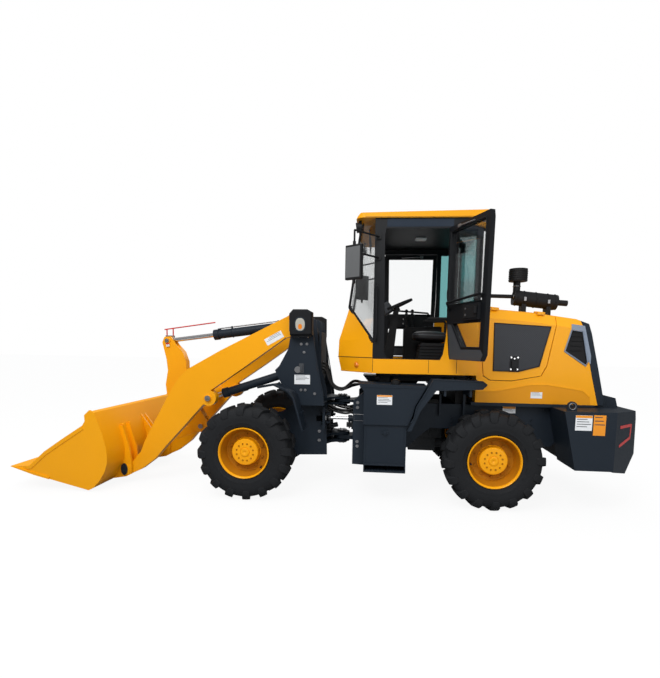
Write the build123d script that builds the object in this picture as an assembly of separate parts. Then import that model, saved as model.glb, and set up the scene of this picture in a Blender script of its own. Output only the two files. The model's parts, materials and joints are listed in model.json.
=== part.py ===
from build123d import *
from math import atan2, cos, degrees, hypot, pi, radians, sin
import os

os.makedirs("parts", exist_ok=True)

# Frame: origin on the ground under the articulation pin, X forward, Y left, Z up, millimetres

# Overall layout
FRONT_AXLE_X = 900.0
REAR_AXLE_X = -1530.0
WHEEL_Z = 480.0
WHEEL_Y = 750.0
RAIL_HALF = 480.0
PLATE = 25.0

# Clearances
PIN_GAP = 0.3
EYE_GAP = 5.0
DOOR_GAP = 6.0

# Pin centres of the working arm in side view
BOOM_PIVOT = (390.0, 1765.0)
LIFT_BASE = (430.0, 1299.0)
LIFT_PIN = (1411.0, 969.0)
TILT_BASE = (455.0, 1800.0)
TILT_PIN = (2071.0, 1579.0)
CRANK_PIVOT = (1940.0, 960.0)
LINK_PIN = (1682.0, 575.0)
BUCKET_LINK_PIN = (2262.0, 350.0)
BUCKET_PIN = (2350.0, 155.0)

# Boom and tower spacing across the machine
ARM_IN = 400.0
ARM_OUT = 500.0
TOWER_IN = 225.0
TOWER_OUT = 510.0
LIFT_Y = 335.0
CRANK_HALF = 50.0
CLEVIS_HALF = 30.0

# Steering cylinders in plan view
STEER_BASE = (-560.0, 290.0)
STEER_PIN = (170.0, 270.0)
STEER_Z = 760.0

# Cab
CAB_FRONT = -345.0
CAB_REAR = -1385.0
CAB_HALF = 640.0
CAB_WALL = 45.0
CAB_BOTTOM = 1285.0
CAB_TOP = 2800.0
FLOOR_TOP = 1330.0
GLASS = 6.0
DOOR_HINGE = (-1104.0, CAB_HALF)
DOOR_OPEN = 112.0

# Hood
HOOD_HALF = 560.0
HOOD_SKIN = 30.0
HOOD_BOTTOM = 1010.0


# Shape helpers
def side_plate(outline, y_from, y_to):
    edge = Polyline(*[(x, y_from, z) for x, z in outline], close=True)
    return extrude(make_face(edge), amount=y_to - y_from, dir=(0, 1, 0))


def plan_plate(outline, z_from, z_to):
    edge = Polyline(*[(x, y, z_from) for x, y in outline], close=True)
    return extrude(make_face(edge), amount=z_to - z_from, dir=(0, 0, 1))


def box(x_from, x_to, y_from, y_to, z_from, z_to):
    size = (x_to - x_from, y_to - y_from, z_to - z_from)
    centre = ((x_from + x_to) / 2, (y_from + y_to) / 2, (z_from + z_to) / 2)
    return Pos(*centre) * Box(*size)


def rod(start, end, radius):
    axis = Vector(*end) - Vector(*start)
    return extrude(Plane(origin=start, z_dir=axis) * Circle(radius), amount=axis.length)


def pin(centre, radius, y_from, y_to):
    return rod((centre[0], y_from, centre[1]), (centre[0], y_to, centre[1]), radius)


def both_sides(shape):
    return shape + mirror(shape, about=Plane.XZ)


def strip(path, thickness):
    """Closed outline of a band of even thickness laid on the left of an open path."""
    normals = []
    for (x0, z0), (x1, z1) in zip(path, path[1:]):
        length = hypot(x1 - x0, z1 - z0)
        normals.append(((z0 - z1) / length, (x1 - x0) / length))
    offset = []
    for i, (x, z) in enumerate(path):
        before = normals[max(i - 1, 0)]
        after = normals[min(i, len(normals) - 1)]
        mx, mz = before[0] + after[0], before[1] + after[1]
        scale = 2 * thickness / (mx * mx + mz * mz)
        offset.append((x + mx * scale, z + mz * scale))
    return path + offset[::-1]


def hull_bar(start, end, start_radius, end_radius, y_from, y_to):
    """Flat bar with round ends about two pins."""
    length = hypot(end[0] - start[0], end[1] - start[1])
    ux, uz = (end[0] - start[0]) / length, (end[1] - start[1]) / length
    corners = [
        (start[0] - uz * start_radius, start[1] + ux * start_radius),
        (end[0] - uz * end_radius, end[1] + ux * end_radius),
        (end[0] + uz * end_radius, end[1] - ux * end_radius),
        (start[0] + uz * start_radius, start[1] - ux * start_radius),
    ]
    bar = side_plate(corners, y_from, y_to)
    return bar + pin(start, start_radius, y_from, y_to) + pin(end, end_radius, y_from, y_to)


def toward(start, end, distance):
    length = hypot(end[0] - start[0], end[1] - start[1])
    return (start[0] + (end[0] - start[0]) * distance / length,
            start[1] + (end[1] - start[1]) * distance / length)


def at_y(point, y):
    return (point[0], y, point[1])


def save(shape, name):
    export_step(shape, f"parts/{name}.step")


# Wheels: carcass between even polygons, shoulder lugs out to the rolling radius, deep dished rim
TYRE_SIDES = 28
TYRE_HALF = 175.0
BEAD_RADIUS = 254.8
LUG_TOP = 480.0
LUG_COUNT = 16
LUG_WIDTH = 64.0
LUG_SKEW = 17.0
HUB_RADIUS = 137.0
HUB_FACE = 100.0
SPINDLE_RADIUS = 45.0


def flat_ring(profile, sides):
    """Ring about the Y axis with flat sides, from a closed profile of (y, radius) corners."""
    def corner(i, k):
        y, radius = profile[k % len(profile)]
        angle = 2 * pi * (i % sides) / sides
        return Vector(radius * cos(angle), y, radius * sin(angle))
    faces = []
    for i in range(sides):
        for k in range(len(profile)):
            quad = [corner(i, k), corner(i + 1, k), corner(i + 1, k + 1), corner(i, k + 1)]
            faces.append(Face(Wire.make_polygon(quad)))
    ring = Solid(Shell(faces))
    return ring if ring.volume > 0 else Solid(ring.wrapped.Reversed())


def make_tyre():
    half_profile = [(145, 262), (TYRE_HALF, 345), (172, 418), (138, 452)]
    bead = BEAD_RADIUS / cos(pi / TYRE_SIDES)
    profile = [(145, bead)] + half_profile + [(-y, r) for y, r in half_profile[::-1]] + [(-145, bead)]
    carcass = Part() + flat_ring(profile, TYRE_SIDES)
    lug_profile = [(12, 430), (12, LUG_TOP), (140, LUG_TOP - 4), (170, 446), (TYRE_HALF, 400), (150, 395)]
    edge = Polyline(*[(-LUG_WIDTH / 2, y, z) for y, z in lug_profile], close=True)
    lug = extrude(make_face(edge), amount=LUG_WIDTH, dir=(1, 0, 0))
    lug = Pos(0, 70, 0) * Rot(0, 0, LUG_SKEW) * Pos(0, -70, 0) * lug
    lug = lug & box(-200, 200, 0, TYRE_HALF, 0, 500)
    other = mirror(lug, about=Plane.XZ)
    lugs = []
    for i in range(LUG_COUNT):
        angle = i * 360 / LUG_COUNT
        lugs.append(Rot(0, angle, 0) * lug)
        lugs.append(Rot(0, angle + 180 / LUG_COUNT, 0) * other)
    return carcass + lugs


def make_rim():
    # Half section (distance from the wheel centre plane, radius), outer face at positive values
    section = [
        (-155, 254.7), (155, 254.7), (155, 240), (28, 205), (28, HUB_RADIUS), (HUB_FACE, HUB_RADIUS),
        (HUB_FACE, 0), (55, 0), (55, SPINDLE_RADIUS + PIN_GAP), (8, SPINDLE_RADIUS + PIN_GAP), (8, 230),
        (-155, 230),
    ]
    face = make_face(Polyline(*[(r, y, 0) for y, r in section], close=True))
    return revolve(face, Axis.Y, 360)


tyre = make_tyre()
rim = make_rim()
WHEELS = [("front_left", FRONT_AXLE_X, 1), ("front_right", FRONT_AXLE_X, -1),
          ("rear_left", REAR_AXLE_X, 1), ("rear_right", REAR_AXLE_X, -1)]
for corner, wheel_x, side in WHEELS:
    place = Pos(wheel_x, side * WHEEL_Y, WHEEL_Z)
    turned = Rot(0, 0, 0 if side > 0 else 180)
    save(place * turned * tyre, f"tyre_{corner}")
    save(place * turned * rim, f"rim_{corner}")


# Axles: tube, differential housing, hub ends that carry the wheels, frame pads
def make_axle(x):
    tube = pin((x, WHEEL_Z), 72, -560, 560)
    housing = pin((x, WHEEL_Z), 165, -95, 95)
    nose = rod((x - 60, 0, WHEEL_Z), (x + 60, 0, WHEEL_Z), 150)
    pinion_side = -1 if x > 0 else 1
    pinion = rod((x, 0, WHEEL_Z), (x + pinion_side * 260, 0, WHEEL_Z), 62)
    axle = tube + housing + nose + pinion
    for side in (-1, 1):
        axle += pin((x, WHEEL_Z), 112, side * 520, side * 735)
        axle += pin((x, WHEEL_Z), SPINDLE_RADIUS, side * 700, side * 795)
        axle += box(x - 80, x + 80, side * 345 - 55, side * 345 + 55, WHEEL_Z, 560)
    return axle


save(make_axle(FRONT_AXLE_X), "front_axle")
save(make_axle(REAR_AXLE_X), "rear_axle")


# Rear frame: side rails, hinge tongues, cross members, deck under the hood
HINGE_RADIUS = 38.0
SHAFT_Z = 640.0
TONGUE_UP = (918.0, 947.0)
TONGUE_LOW = (490.0, 530.0)
DECK = (975.0, HOOD_BOTTOM)


def make_rear_frame():
    rail = side_plate([(-300, 975), (-2300, 975), (-2300, 700), (-2190, 560), (-1960, 560),
                       (-1880, 716), (-1700, 740), (-1640, 560), (-1420, 560), (-1360, 716),
                       (-961, 716), (-866, 640), (-640, 420), (-300, 420)],
                      RAIL_HALF - PLATE, RAIL_HALF)
    frame = both_sides(rail)
    tongue = [(0, 95), (-120, 120), (-330, RAIL_HALF - PLATE), (-620, RAIL_HALF - PLATE)]
    tongue_plan = tongue + [(x, -y) for x, y in tongue[::-1]]
    for low, high in (TONGUE_UP, TONGUE_LOW):
        frame += plan_plate(tongue_plan, low, high)
        frame += rod((0, 0, low), (0, 0, high), 95)
        frame -= rod((0, 0, low - 1), (0, 0, high + 1), HINGE_RADIUS + PIN_GAP)
    inner = RAIL_HALF - PLATE
    frame += box(-640, -615, -inner, inner, 420, 975)
    frame -= rod((-650, 0, SHAFT_Z), (-600, 0, SHAFT_Z), 70)
    for side in (-1, 1):
        for low, high in ((708, 726), (794, 812)):
            frame += box(-620, -520, side * 290 - 60, side * 290 + 60, low, high)
        frame += rod((STEER_BASE[0], side * STEER_BASE[1], 700), (STEER_BASE[0], side * STEER_BASE[1], 820), 22)
    for x in (-1180, -1980):
        frame += box(x - 40, x + 40, -inner, inner, 760, 860)
    frame += box(REAR_AXLE_X - 130, REAR_AXLE_X + 130, -inner, inner, 690, 740)
    frame += both_sides(box(REAR_AXLE_X - 110, REAR_AXLE_X + 110, 290, inner, 560, 690))
    deck = box(-2560, -1352, -HOOD_HALF, HOOD_HALF, DECK[0], DECK[1])
    deck -= box(-2480, -1400, -inner + 15, inner - 15, DECK[0] - 1, DECK[1] + 1)
    frame += deck
    frame -= box(-2600, -2298, -600, 600, 400, 990)
    return frame


save(make_rear_frame(), "rear_frame")


# Counterweight: plan form with cut rear corners met by the side form, tow slot and pin bore
HITCH_X = -2905.0
HITCH_RADIUS = 20.0
LIFT_EYE_X = -2240.0
LIFT_EYE_Y = 800.0
LIFT_EYE_Z = 1025.0
LIFT_EYE_RADIUS = 20.0


def make_counterweight():
    half_plan = [(-2139, 900), (-2605, 900), (-2975, 540)]
    plan = half_plan + [(x, -y) for x, y in half_plan[::-1]]
    weight = plan_plate(plan, 300, 1100)
    weight = weight & side_plate([(-2139, 985), (-2262, 431), (-2582, 431), (-2825, 364), (-2973, 534),
                                  (-2959, 888), (-2944, 968), (-2605, 988)], -950, 950)
    weight -= box(-2300, -2100, -RAIL_HALF, RAIL_HALF, 300, 1100)
    weight -= box(-2300, -2100, -HOOD_HALF, HOOD_HALF, DECK[0], DECK[0] + 200)
    weight += side_plate([(-2650, 980), (-2650, 1090), (-2722, 1098), (-2832, 1071), (-2862, 960)], -400, 400)
    weight -= box(-3000, HITCH_X + 55, -75, 75, 560, 660)
    weight -= rod((HITCH_X, 0, 300), (HITCH_X, 0, 600), HITCH_RADIUS)
    weight -= rod((HITCH_X, 0, 600), (HITCH_X, 0, 1200), HITCH_RADIUS + 6)
    weight -= rod((HITCH_X, 0, 300), (HITCH_X, 0, 465), 46)
    for side in (-1, 1):
        eye = (LIFT_EYE_X, LIFT_EYE_Z)
        weight += hull_bar((LIFT_EYE_X, 950), eye, 45, 45, side * LIFT_EYE_Y - 12, side * LIFT_EYE_Y + 12)
        weight -= pin(eye, LIFT_EYE_RADIUS, side * LIFT_EYE_Y - 20, side * LIFT_EYE_Y + 20)
    return weight


save(make_counterweight(), "counterweight")

# Engine at its real place, gearbox below the cab and the shaft between gearbox and rear axle
save(box(-2280, -1500, -270, 270, 860, 1480), "engine_block")
gearbox = box(-1120, -700, -210, 210, 560, 940) + box(-1060, -760, -150, 150, 400, 560)
gearbox += rod((-1060, 0, WHEEL_Z), (-1140, 0, WHEEL_Z), 66)
gearbox += rod((-700, 0, SHAFT_Z), (-665, 0, SHAFT_Z), 58)
save(gearbox, "gearbox")
shafts = rod((-1140, 0, WHEEL_Z), (REAR_AXLE_X + 260, 0, WHEEL_Z), 34)
shafts += rod((-665, 0, SHAFT_Z), (-52, 0, SHAFT_Z), 30)
save(shafts, "rear_shaft")


# Hood: ruled skin through cross sections, side doors and rear shell cut from it
def hood_section(x, top, inset):
    half = HOOD_HALF - inset
    bottom = HOOD_BOTTOM - inset * 2 if inset else HOOD_BOTTOM
    corners = [(half, bottom), (half, top - 100 - inset), (half - 75, top - inset),
               (75 - half, top - inset), (-half, top - 100 - inset), (-half, bottom)]
    return make_face(Polyline(*[(x, y, z) for y, z in corners], close=True))


HOOD_TOPS = [(-1392, 1962), (-1927, 1919), (-2354, 1860), (-2483, 1815), (-2575, 1440), (-2640, 1160)]
HOOD_DOOR = [(-1400, 1900), (-1421, 1597), (-1458, 1275), (-1530, 1233), (-1747, 1230), (-2029, 1288),
             (-2079, 1392), (-2150, 1820)]
REAR_SHELL = [(-2388, 1900), (-2455, 1529), (-2505, 1314), (-2585, 1000), (-2700, 1000), (-2700, 1900)]
SIDE_VENT = [(-2290, 1745), (-2400, 1735), (-2462, 1444), (-2445, 1400), (-2235, 1539)]


def make_hood_skin():
    outer = loft([hood_section(x, top, 0) for x, top in HOOD_TOPS], ruled=True)
    first, last = HOOD_TOPS[0], HOOD_TOPS[-1]
    inner_tops = [(first[0] - HOOD_SKIN, first[1])] + HOOD_TOPS[1:3]
    inner_tops += [(x + HOOD_SKIN, top - 10) for x, top in HOOD_TOPS[3:]]
    inner = loft([hood_section(x, top, HOOD_SKIN) for x, top in inner_tops], ruled=True)
    return outer - inner


def hood_top(x):
    for (x0, z0), (x1, z1) in zip(HOOD_TOPS, HOOD_TOPS[1:]):
        if x1 <= x <= x0:
            return z0 + (z1 - z0) * (x - x0) / (x1 - x0)
    return HOOD_TOPS[-1][1]


def shrink(outline, gap):
    cx = sum(x for x, _ in outline) / len(outline)
    cz = sum(z for _, z in outline) / len(outline)
    result = []
    for x, z in outline:
        away = hypot(x - cx, z - cz)
        result.append((x - (x - cx) * gap / away, z - (z - cz) * gap / away))
    return result


hood_skin = make_hood_skin()
door_hole = HOOD_DOOR + [(-2165, 2050), (-1393.5, 2050)]
door_fill = shrink(HOOD_DOOR, DOOR_GAP + 2) + [(-2150, 2050), (-1408, 2050)]
door_y = HOOD_HALF - 75
hood_left_zone = side_plate(door_hole, door_y, HOOD_HALF + 10)
hood_left_fill = side_plate(door_fill, door_y + DOOR_GAP, HOOD_HALF + 10)
rear_zone = side_plate(REAR_SHELL, -HOOD_HALF - 10, HOOD_HALF + 10)
vent_zone = side_plate(SIDE_VENT, HOOD_HALF - HOOD_SKIN - 5, HOOD_HALF + 10)
hood = hood_skin - hood_left_zone - mirror(hood_left_zone, about=Plane.XZ) - rear_zone
hood -= both_sides(vent_zone)

# Hood door hinges on a line along the top edge of each door
HOOD_HINGE_Y = HOOD_HALF - 72.0
HOOD_HINGE_RISE = 11.0
HOOD_HINGE_X = (-1550.0, -2000.0)


def hood_hinge_point(x):
    x0, x1 = HOOD_HINGE_X
    z0, z1 = hood_top(x0), hood_top(x1)
    return (x, HOOD_HINGE_Y, z0 + (z1 - z0) * (x - x0) / (x1 - x0) + HOOD_HINGE_RISE)


hinge_lugs = None
hinge_barrels = None
for x in HOOD_HINGE_X:
    knuckle = rod(hood_hinge_point(x - 50), hood_hinge_point(x + 50), 4.5)
    for edge in (x - 46, x + 46):
        _, y, z = hood_hinge_point(edge)
        knuckle += box(edge - 6, edge + 6, y - 24, y + 2, z - 18, z + 7)
    hinge_lugs = knuckle if hinge_lugs is None else hinge_lugs + knuckle
    barrel = rod(hood_hinge_point(x - 38), hood_hinge_point(x + 38), 8.5)
    _, y, z = hood_hinge_point(x)
    barrel += box(x - 30, x + 30, y, y + 30, z - 24, z + 2)
    barrel -= rod(hood_hinge_point(x - 60), hood_hinge_point(x + 60), 4.5 + PIN_GAP)
    hinge_barrels = barrel if hinge_barrels is None else hinge_barrels + barrel
save(hood + both_sides(hinge_lugs), "hood")
hood_door = (hood_skin & hood_left_fill) + hinge_barrels
save(hood_door, "hood_door_left")
save(mirror(hood_door, about=Plane.XZ), "hood_door_right")
vent = side_plate(SIDE_VENT, HOOD_HALF - HOOD_SKIN, HOOD_HALF - 12)
for step in range(4):
    low = 1545 + step * 46
    vent += side_plate([(-2290, low), (-2290, low + 14), (-2400, low + 14), (-2400, low)],
                       HOOD_HALF - 12, HOOD_HALF - 4)
save(both_sides(vent), "side_vents")

rear_shell = hood_skin & rear_zone
grille_window = box(-2760, -2400, -430, 430, 1210, 1700)
rear_shell -= grille_window
for slat in range(8):
    low = 1235 + slat * 60
    back = -2483 - (1815 - low) * 92 / 375 if low > 1440 else -2575 - (1440 - low) * 65 / 280
    rear_shell += side_plate([(back + 12, low), (back + 60, low + 30), (back + 60, low + 42),
                              (back + 12, low + 12)], -430, 430)
save(rear_shell, "rear_grille")

# Air cleaner with its canister, stack, pre-cleaner cap, outlet pipes and brackets
air = rod((-1800, 250, 2090), (-2240, 250, 2042), 78)
air += rod((-1831, 250, 2060), (-1831, 250, 2257), 36)
air += rod((-1840, 250, 2255), (-1840, 250, 2383), 92)
air += rod((-2230, 250, 2043), (-2350, 250, 2035), 30)
air += rod((-1390, 250, 2108), (-1830, 250, 2100), 20)
for x in (-1900, -2150):
    foot = [(x - 22, hood_top(x - 22)), (x + 22, hood_top(x + 22)), (x + 22, 2060), (x - 22, 2060)]
    air += side_plate(foot, 195, 305)
save(air, "air_cleaner")


# Cab: lower body, pillars and headers, roof, nose, glass
WINDOW_TOP = CAB_TOP - 110
DOOR_HOLE = [(-454, CAB_TOP - 100), (-443, CAB_TOP - 160), (-461, 1490), (-497, 1435), (-1011, 1435),
             (-1036, 1487), (-1091, 1818), (-1104, 2170), (-1098, CAB_TOP - 100)]
QUARTER_WINDOW = [(-1148, WINDOW_TOP), (-1150, 1920), (-1330, 1920), (-1330, WINDOW_TOP)]
YELLOW_ZONE = [(-200, 1200), (-200, 1430), (-1015, 1430), (-1042, 1487), (-1095, 1880), (-1400, 1895),
               (-1400, 1200)]


def make_cab_shell():
    shell = box(CAB_REAR, CAB_FRONT, -CAB_HALF, CAB_HALF, CAB_BOTTOM, CAB_TOP)
    inner = CAB_HALF - CAB_WALL
    shell -= box(CAB_REAR + CAB_WALL, CAB_FRONT + 50, -inner, inner, CAB_BOTTOM - 1, CAB_TOP - CAB_WALL)
    shell -= both_sides(side_plate(DOOR_HOLE, inner - 1, CAB_HALF + 1))
    shell -= both_sides(side_plate(QUARTER_WINDOW, inner - 1, CAB_HALF + 1))
    shell -= box(CAB_REAR - 1, CAB_REAR + CAB_WALL + 1, 100 - CAB_HALF, CAB_HALF - 100, 2010, WINDOW_TOP)
    return shell


# Door hinges: height of the lower end and place of the foot on the door stile
DOOR_HINGES = [(1600.0, -1036.0), (CAB_TOP - 260.0, -1076.0)]
HINGE_OUT = 12.0
HINGE_TALL = 80.0
HINGE_PIN = 6.0


def make_hinge_lugs(z):
    x, y = DOOR_HINGE[0], DOOR_HINGE[1] + HINGE_OUT
    lugs = rod((x, y, z - 12), (x, y, z + HINGE_TALL + 12), HINGE_PIN)
    for low in (z - 13, z + HINGE_TALL + 1):
        lugs += box(x - 16, x + 5, CAB_HALF - 1, y + 10, low, low + 12)
    return both_sides(lugs)


cab_shell = make_cab_shell()
yellow_zone = side_plate(YELLOW_ZONE, -CAB_HALF - 1, CAB_HALF + 1)
save((cab_shell & yellow_zone) + make_hinge_lugs(DOOR_HINGES[0][0]), "cab_lower")
save((cab_shell - yellow_zone) + make_hinge_lugs(DOOR_HINGES[1][0]), "cab_frame")

floor_half = CAB_HALF - CAB_WALL
floor = box(CAB_REAR + CAB_WALL, CAB_FRONT, -floor_half, floor_half, CAB_BOTTOM, FLOOR_TOP)
for x in (-470, -1270):
    floor += box(x - 60, x + 60, -450, 450, 975, CAB_BOTTOM)
save(floor, "cab_floor")

# Roof with rounded corners in plan and a sloped front edge
ROOF_SIDE = [(-155, CAB_TOP), (-168, CAB_TOP + 15), (-200, CAB_TOP + 45), (-1439, CAB_TOP + 69),
             (-1492, CAB_TOP + 43), (-1440, CAB_TOP)]
roof_plan = box(-1492, -155, -CAB_HALF - 20, CAB_HALF + 20, CAB_TOP, CAB_TOP + 80)
roof_plan = fillet(roof_plan.edges().filter_by(Axis.Z), 90)
save(roof_plan & side_plate(ROOF_SIDE, -CAB_HALF - 60, CAB_HALF + 60), "cab_roof")

# Nose below the windscreen, tapering in plan so that the tower passes it at full steer
NOSE_SECTIONS = [(CAB_BOTTOM, -8, 325), (1440, 26, 335), (1615, 20, 332), (1960, -86, 330)]
NOSE_TOP = [(CAB_FRONT - 5, 1590), (-86, 1955), (200, 1955), (200, 2100), (CAB_FRONT - 5, 2100)]


def nose_section(z, front, half, inset):
    back = CAB_FRONT + (0 if inset == 0 else 1)
    side = CAB_HALF - inset * 1.3
    plan = [(back, side), (front - inset, half - inset * 0.5), (front - inset, inset * 0.5 - half), (back, -side)]
    return make_face(Polyline(*[(x, y, z) for x, y in plan], close=True))


nose = loft([nose_section(z, front, half, 0) for z, front, half in NOSE_SECTIONS], ruled=True)
nose_inner_sections = [(CAB_BOTTOM - 1, -8, 325)] + NOSE_SECTIONS[1:3] + [(1961, -86, 330)]
nose_inner = loft([nose_section(z, front, half, 35) for z, front, half in nose_inner_sections], ruled=True)
nose = nose - Pos(-1, 0, 0) * nose_inner - side_plate(NOSE_TOP, -700, 700)
save(nose, "cab_nose")


# Windscreen in three panes, quarter windows and rear window
def glass_outline(z, front, half, shift):
    plan = [(CAB_FRONT + shift, CAB_HALF - 12), (front + shift, half), (front + shift, -half),
            (CAB_FRONT + shift, 12 - CAB_HALF)]
    return make_face(Polyline(*[(x, y, z) for x, y in plan], close=True))


SCREEN_LOW = (1560.0, -44.0, 300.0)
SCREEN_HIGH = (CAB_TOP, -205.0, 410.0)
screen = loft([glass_outline(*SCREEN_LOW, 0), glass_outline(*SCREEN_HIGH, 0)], ruled=True)
screen -= loft([glass_outline(*SCREEN_LOW, -9), glass_outline(*SCREEN_HIGH, -9)], ruled=True)
screen -= side_plate([(CAB_FRONT - 60, 1500), (CAB_FRONT - 60, 1523), (-86, 1957), (200, 1957), (200, 1500)],
                     -700, 700)
screen -= box(CAB_FRONT - 100, CAB_FRONT + 0.5, -700, 700, 1400, 2900)
glass_y = CAB_HALF - CAB_WALL / 2
quarter = side_plate(QUARTER_WINDOW, glass_y - GLASS / 2, glass_y + GLASS / 2)
rear_pane_x = CAB_REAR + CAB_WALL / 2
rear_pane = box(rear_pane_x - GLASS / 2, rear_pane_x + GLASS / 2, 100 - CAB_HALF, CAB_HALF - 100, 2010,
                WINDOW_TOP)
save(screen, "windscreen")
save(both_sides(quarter) + rear_pane, "cab_windows")


# Cab doors, drawn closed; the left one is then turned to its open rest position
DOOR_OUTLINE = shrink(DOOR_HOLE, DOOR_GAP + 2)
DOOR_UPPER = [(-500, CAB_TOP - 155), (-512, 1960), (-1052, 1960), (-1058, CAB_TOP - 155)]
DOOR_LOWER = [(-512, 1785), (-520, 1560), (-800, 1560), (-979, 1785)]
door_in = CAB_HALF - CAB_WALL


def make_door():
    panel = side_plate(DOOR_OUTLINE, door_in, CAB_HALF)
    for hole in (DOOR_UPPER, DOOR_LOWER):
        panel -= side_plate(hole, door_in - 1, CAB_HALF + 1)
    lock = side_plate([(-520, 1945), (-520, 1800), (-760, 1800), (-760, 1945)], door_in - 35, door_in)
    rail = rod((-500, door_in - 40, 2010), (-1000, door_in - 55, 1975), 11)
    rail += rod((-500, door_in - 40, 2010), (-500, door_in + 2, 2010), 11)
    rail += rod((-1000, door_in - 55, 1975), (-1040, door_in + 2, 1900), 11)
    hinge_x, hinge_y = DOOR_HINGE[0], DOOR_HINGE[1] + HINGE_OUT
    for z, foot_x in DOOR_HINGES:
        panel += rod((hinge_x, hinge_y, z), (hinge_x, hinge_y, z + HINGE_TALL), 11)
        panel += box(hinge_x, foot_x + 14, hinge_y - 4, hinge_y + 4, z + 8, z + HINGE_TALL - 8)
        panel += box(foot_x - 14, foot_x + 14, CAB_HALF - 1, hinge_y + 4, z + 8, z + HINGE_TALL - 8)
        panel -= rod((hinge_x, hinge_y, z - 1), (hinge_x, hinge_y, z + HINGE_TALL + 1), HINGE_PIN + PIN_GAP)
    return panel + lock + rail


def make_door_glass():
    panes = side_plate(DOOR_UPPER, glass_y - GLASS / 2, glass_y + GLASS / 2)
    return panes + side_plate(DOOR_LOWER, glass_y - GLASS / 2, glass_y + GLASS / 2)


def swing_open(shape):
    hinge = (DOOR_HINGE[0], DOOR_HINGE[1] + HINGE_OUT, 0)
    return Pos(*hinge) * Rot(0, 0, DOOR_OPEN) * Pos(-hinge[0], -hinge[1], 0) * shape


door = make_door()
door_glass = make_door_glass()
save(swing_open(door), "left_door")
save(swing_open(door_glass), "left_door_glass")
save(mirror(door, about=Plane.XZ), "right_door")
save(mirror(door_glass, about=Plane.XZ), "right_door_glass")

# Seat, steering column and side console
SEAT_Z = 1600.0
save(side_plate([(-820, FLOOR_TOP), (-860, SEAT_Z), (-1210, SEAT_Z), (-1180, FLOOR_TOP)], -190, 190), "seat_base")
seat = side_plate([(-780, 1610), (-770, 1700), (-800, 1735), (-1150, 1722), (-1235, 2240), (-1305, 2240),
                   (-1320, 2200), (-1240, SEAT_Z), (-800, SEAT_Z)], -240, 240)
save(seat, "seat")
column = side_plate([(-430, FLOOR_TOP), (-560, 1960), (-620, 1975), (-560, FLOOR_TOP)], -60, 60)
wheel_hub = (-600.0, 0.0, 1985.0)
tilt = Pos(*wheel_hub) * Rot(0, 24, 0)
column += tilt * Cylinder(28, 60)
column += tilt * Pos(0, 0, 25) * Rot(90, 0, 0) * (Part() + flat_ring([(-11, 196), (11, 196), (11, 174), (-11, 174)], 24))
for spoke in range(3):
    column += tilt * Rot(0, 0, spoke * 120) * (Pos(92, 0, 25) * Box(186, 24, 12))
save(column, "steering_column")
console = side_plate([(-700, FLOOR_TOP), (-700, 1780), (-1150, 1800), (-1150, FLOOR_TOP)], -500, -330)
for x in (-745, -815):
    console += rod((x, -415, 1770), (x + 15, -415, 1930), 10)
    console += Pos(x + 15, -415, 1940) * Box(34, 34, 46)
save(console, "control_console")

# Mirrors on bent arms, front work lamps under the roof edge
mirror_arm = rod((-160, 905, 2130), (-160, 905, 2620), 9)
for z in (2420, 2620):
    mirror_arm += rod((-385, CAB_HALF + 8, z), (-160, 905, z), 9) + box(-405, -365, CAB_HALF, CAB_HALF + 14, z - 22, z + 22)
mirror_head = box(-178, -142, 820, 990, 2170, 2487)
mirror_head = fillet(mirror_head.edges().filter_by(Axis.X), 28)
save(both_sides(mirror_arm + mirror_head), "mirrors")
lamp = rod((-215, 540, CAB_TOP - 62), (-160, 540, CAB_TOP - 70), 48)
lamp += box(-205, -180, 528, 552, CAB_TOP - 60, CAB_TOP)
save(both_sides(lamp), "work_lamps")


# Side tanks with lower locker and step, left and right alike
def make_side_box():
    upper = side_plate([(-214, 1194), (-885, 1181), (-775, 985), (-750, 880), (-705, 790), (-273, 790),
                        (-273, 1120)], RAIL_HALF, 815)
    locker = side_plate([(-283, 400), (-283, 790), (-698, 790), (-698, 400)], RAIL_HALF, 795)
    step = side_plate([(-283, 314), (-283, 400), (-698, 400), (-698, 314)], RAIL_HALF + 60, 815)
    step -= side_plate([(-295, 330), (-295, 384), (-686, 384), (-686, 330)], RAIL_HALF + 75, 820)
    front = side_plate([(-165, 1000), (-165, 361), (-283, 355), (-273, 1100)], RAIL_HALF + 60, 700)
    return upper + locker + step + front


side_box = make_side_box()
save(side_box, "side_box_left")
save(mirror(side_box, about=Plane.XZ), "side_box_right")

# Rear fenders: folded top skin with a deep outer lip
REAR_FENDER = [(-735, 820), (-764, 868), (-787, 978), (-936, 1244), (-1393, 1235), (-1433, 1203)]
LIP = [(-700, 745), (-764, 868), (-787, 978), (-936, 1244), (-1393, 1235), (-1433, 1203), (-1396, 1165),
       (-966, 1144), (-828, 952), (-740, 745)]
skin = side_plate(strip(REAR_FENDER, 14), 600, 850)
fender = skin + side_plate(LIP, 840, 860)
for x in (-1050, -1290):
    fender += box(x - 10, x + 10, RAIL_HALF, 845, 1090, 1228)
    fender += box(x - 10, x + 10, RAIL_HALF, RAIL_HALF + 50, 860, 1228)
save(both_sides(fender), "rear_fenders")


# Front frame: hinge forks, side plates to the axle, tower plates with the arm pins
FORK_UP = (890.0, 975.0)
FORK_LOW = (455.0, 565.0)
TOWER = [(455, 1862), (335, 1862), (285, 1830), (269, 1659), (228, 1312), (167, 1093), (150, 946), (459, 940),
         (540, 1010), (673, 1288), (628, 1333), (533, 1510), (511, 1641)]
BASE = [(150, 946), (459, 940), (560, 880), (780, 720), (1040, 680), (1040, 560), (820, 560), (640, 430),
        (459, 350), (135, 362)]


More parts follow.
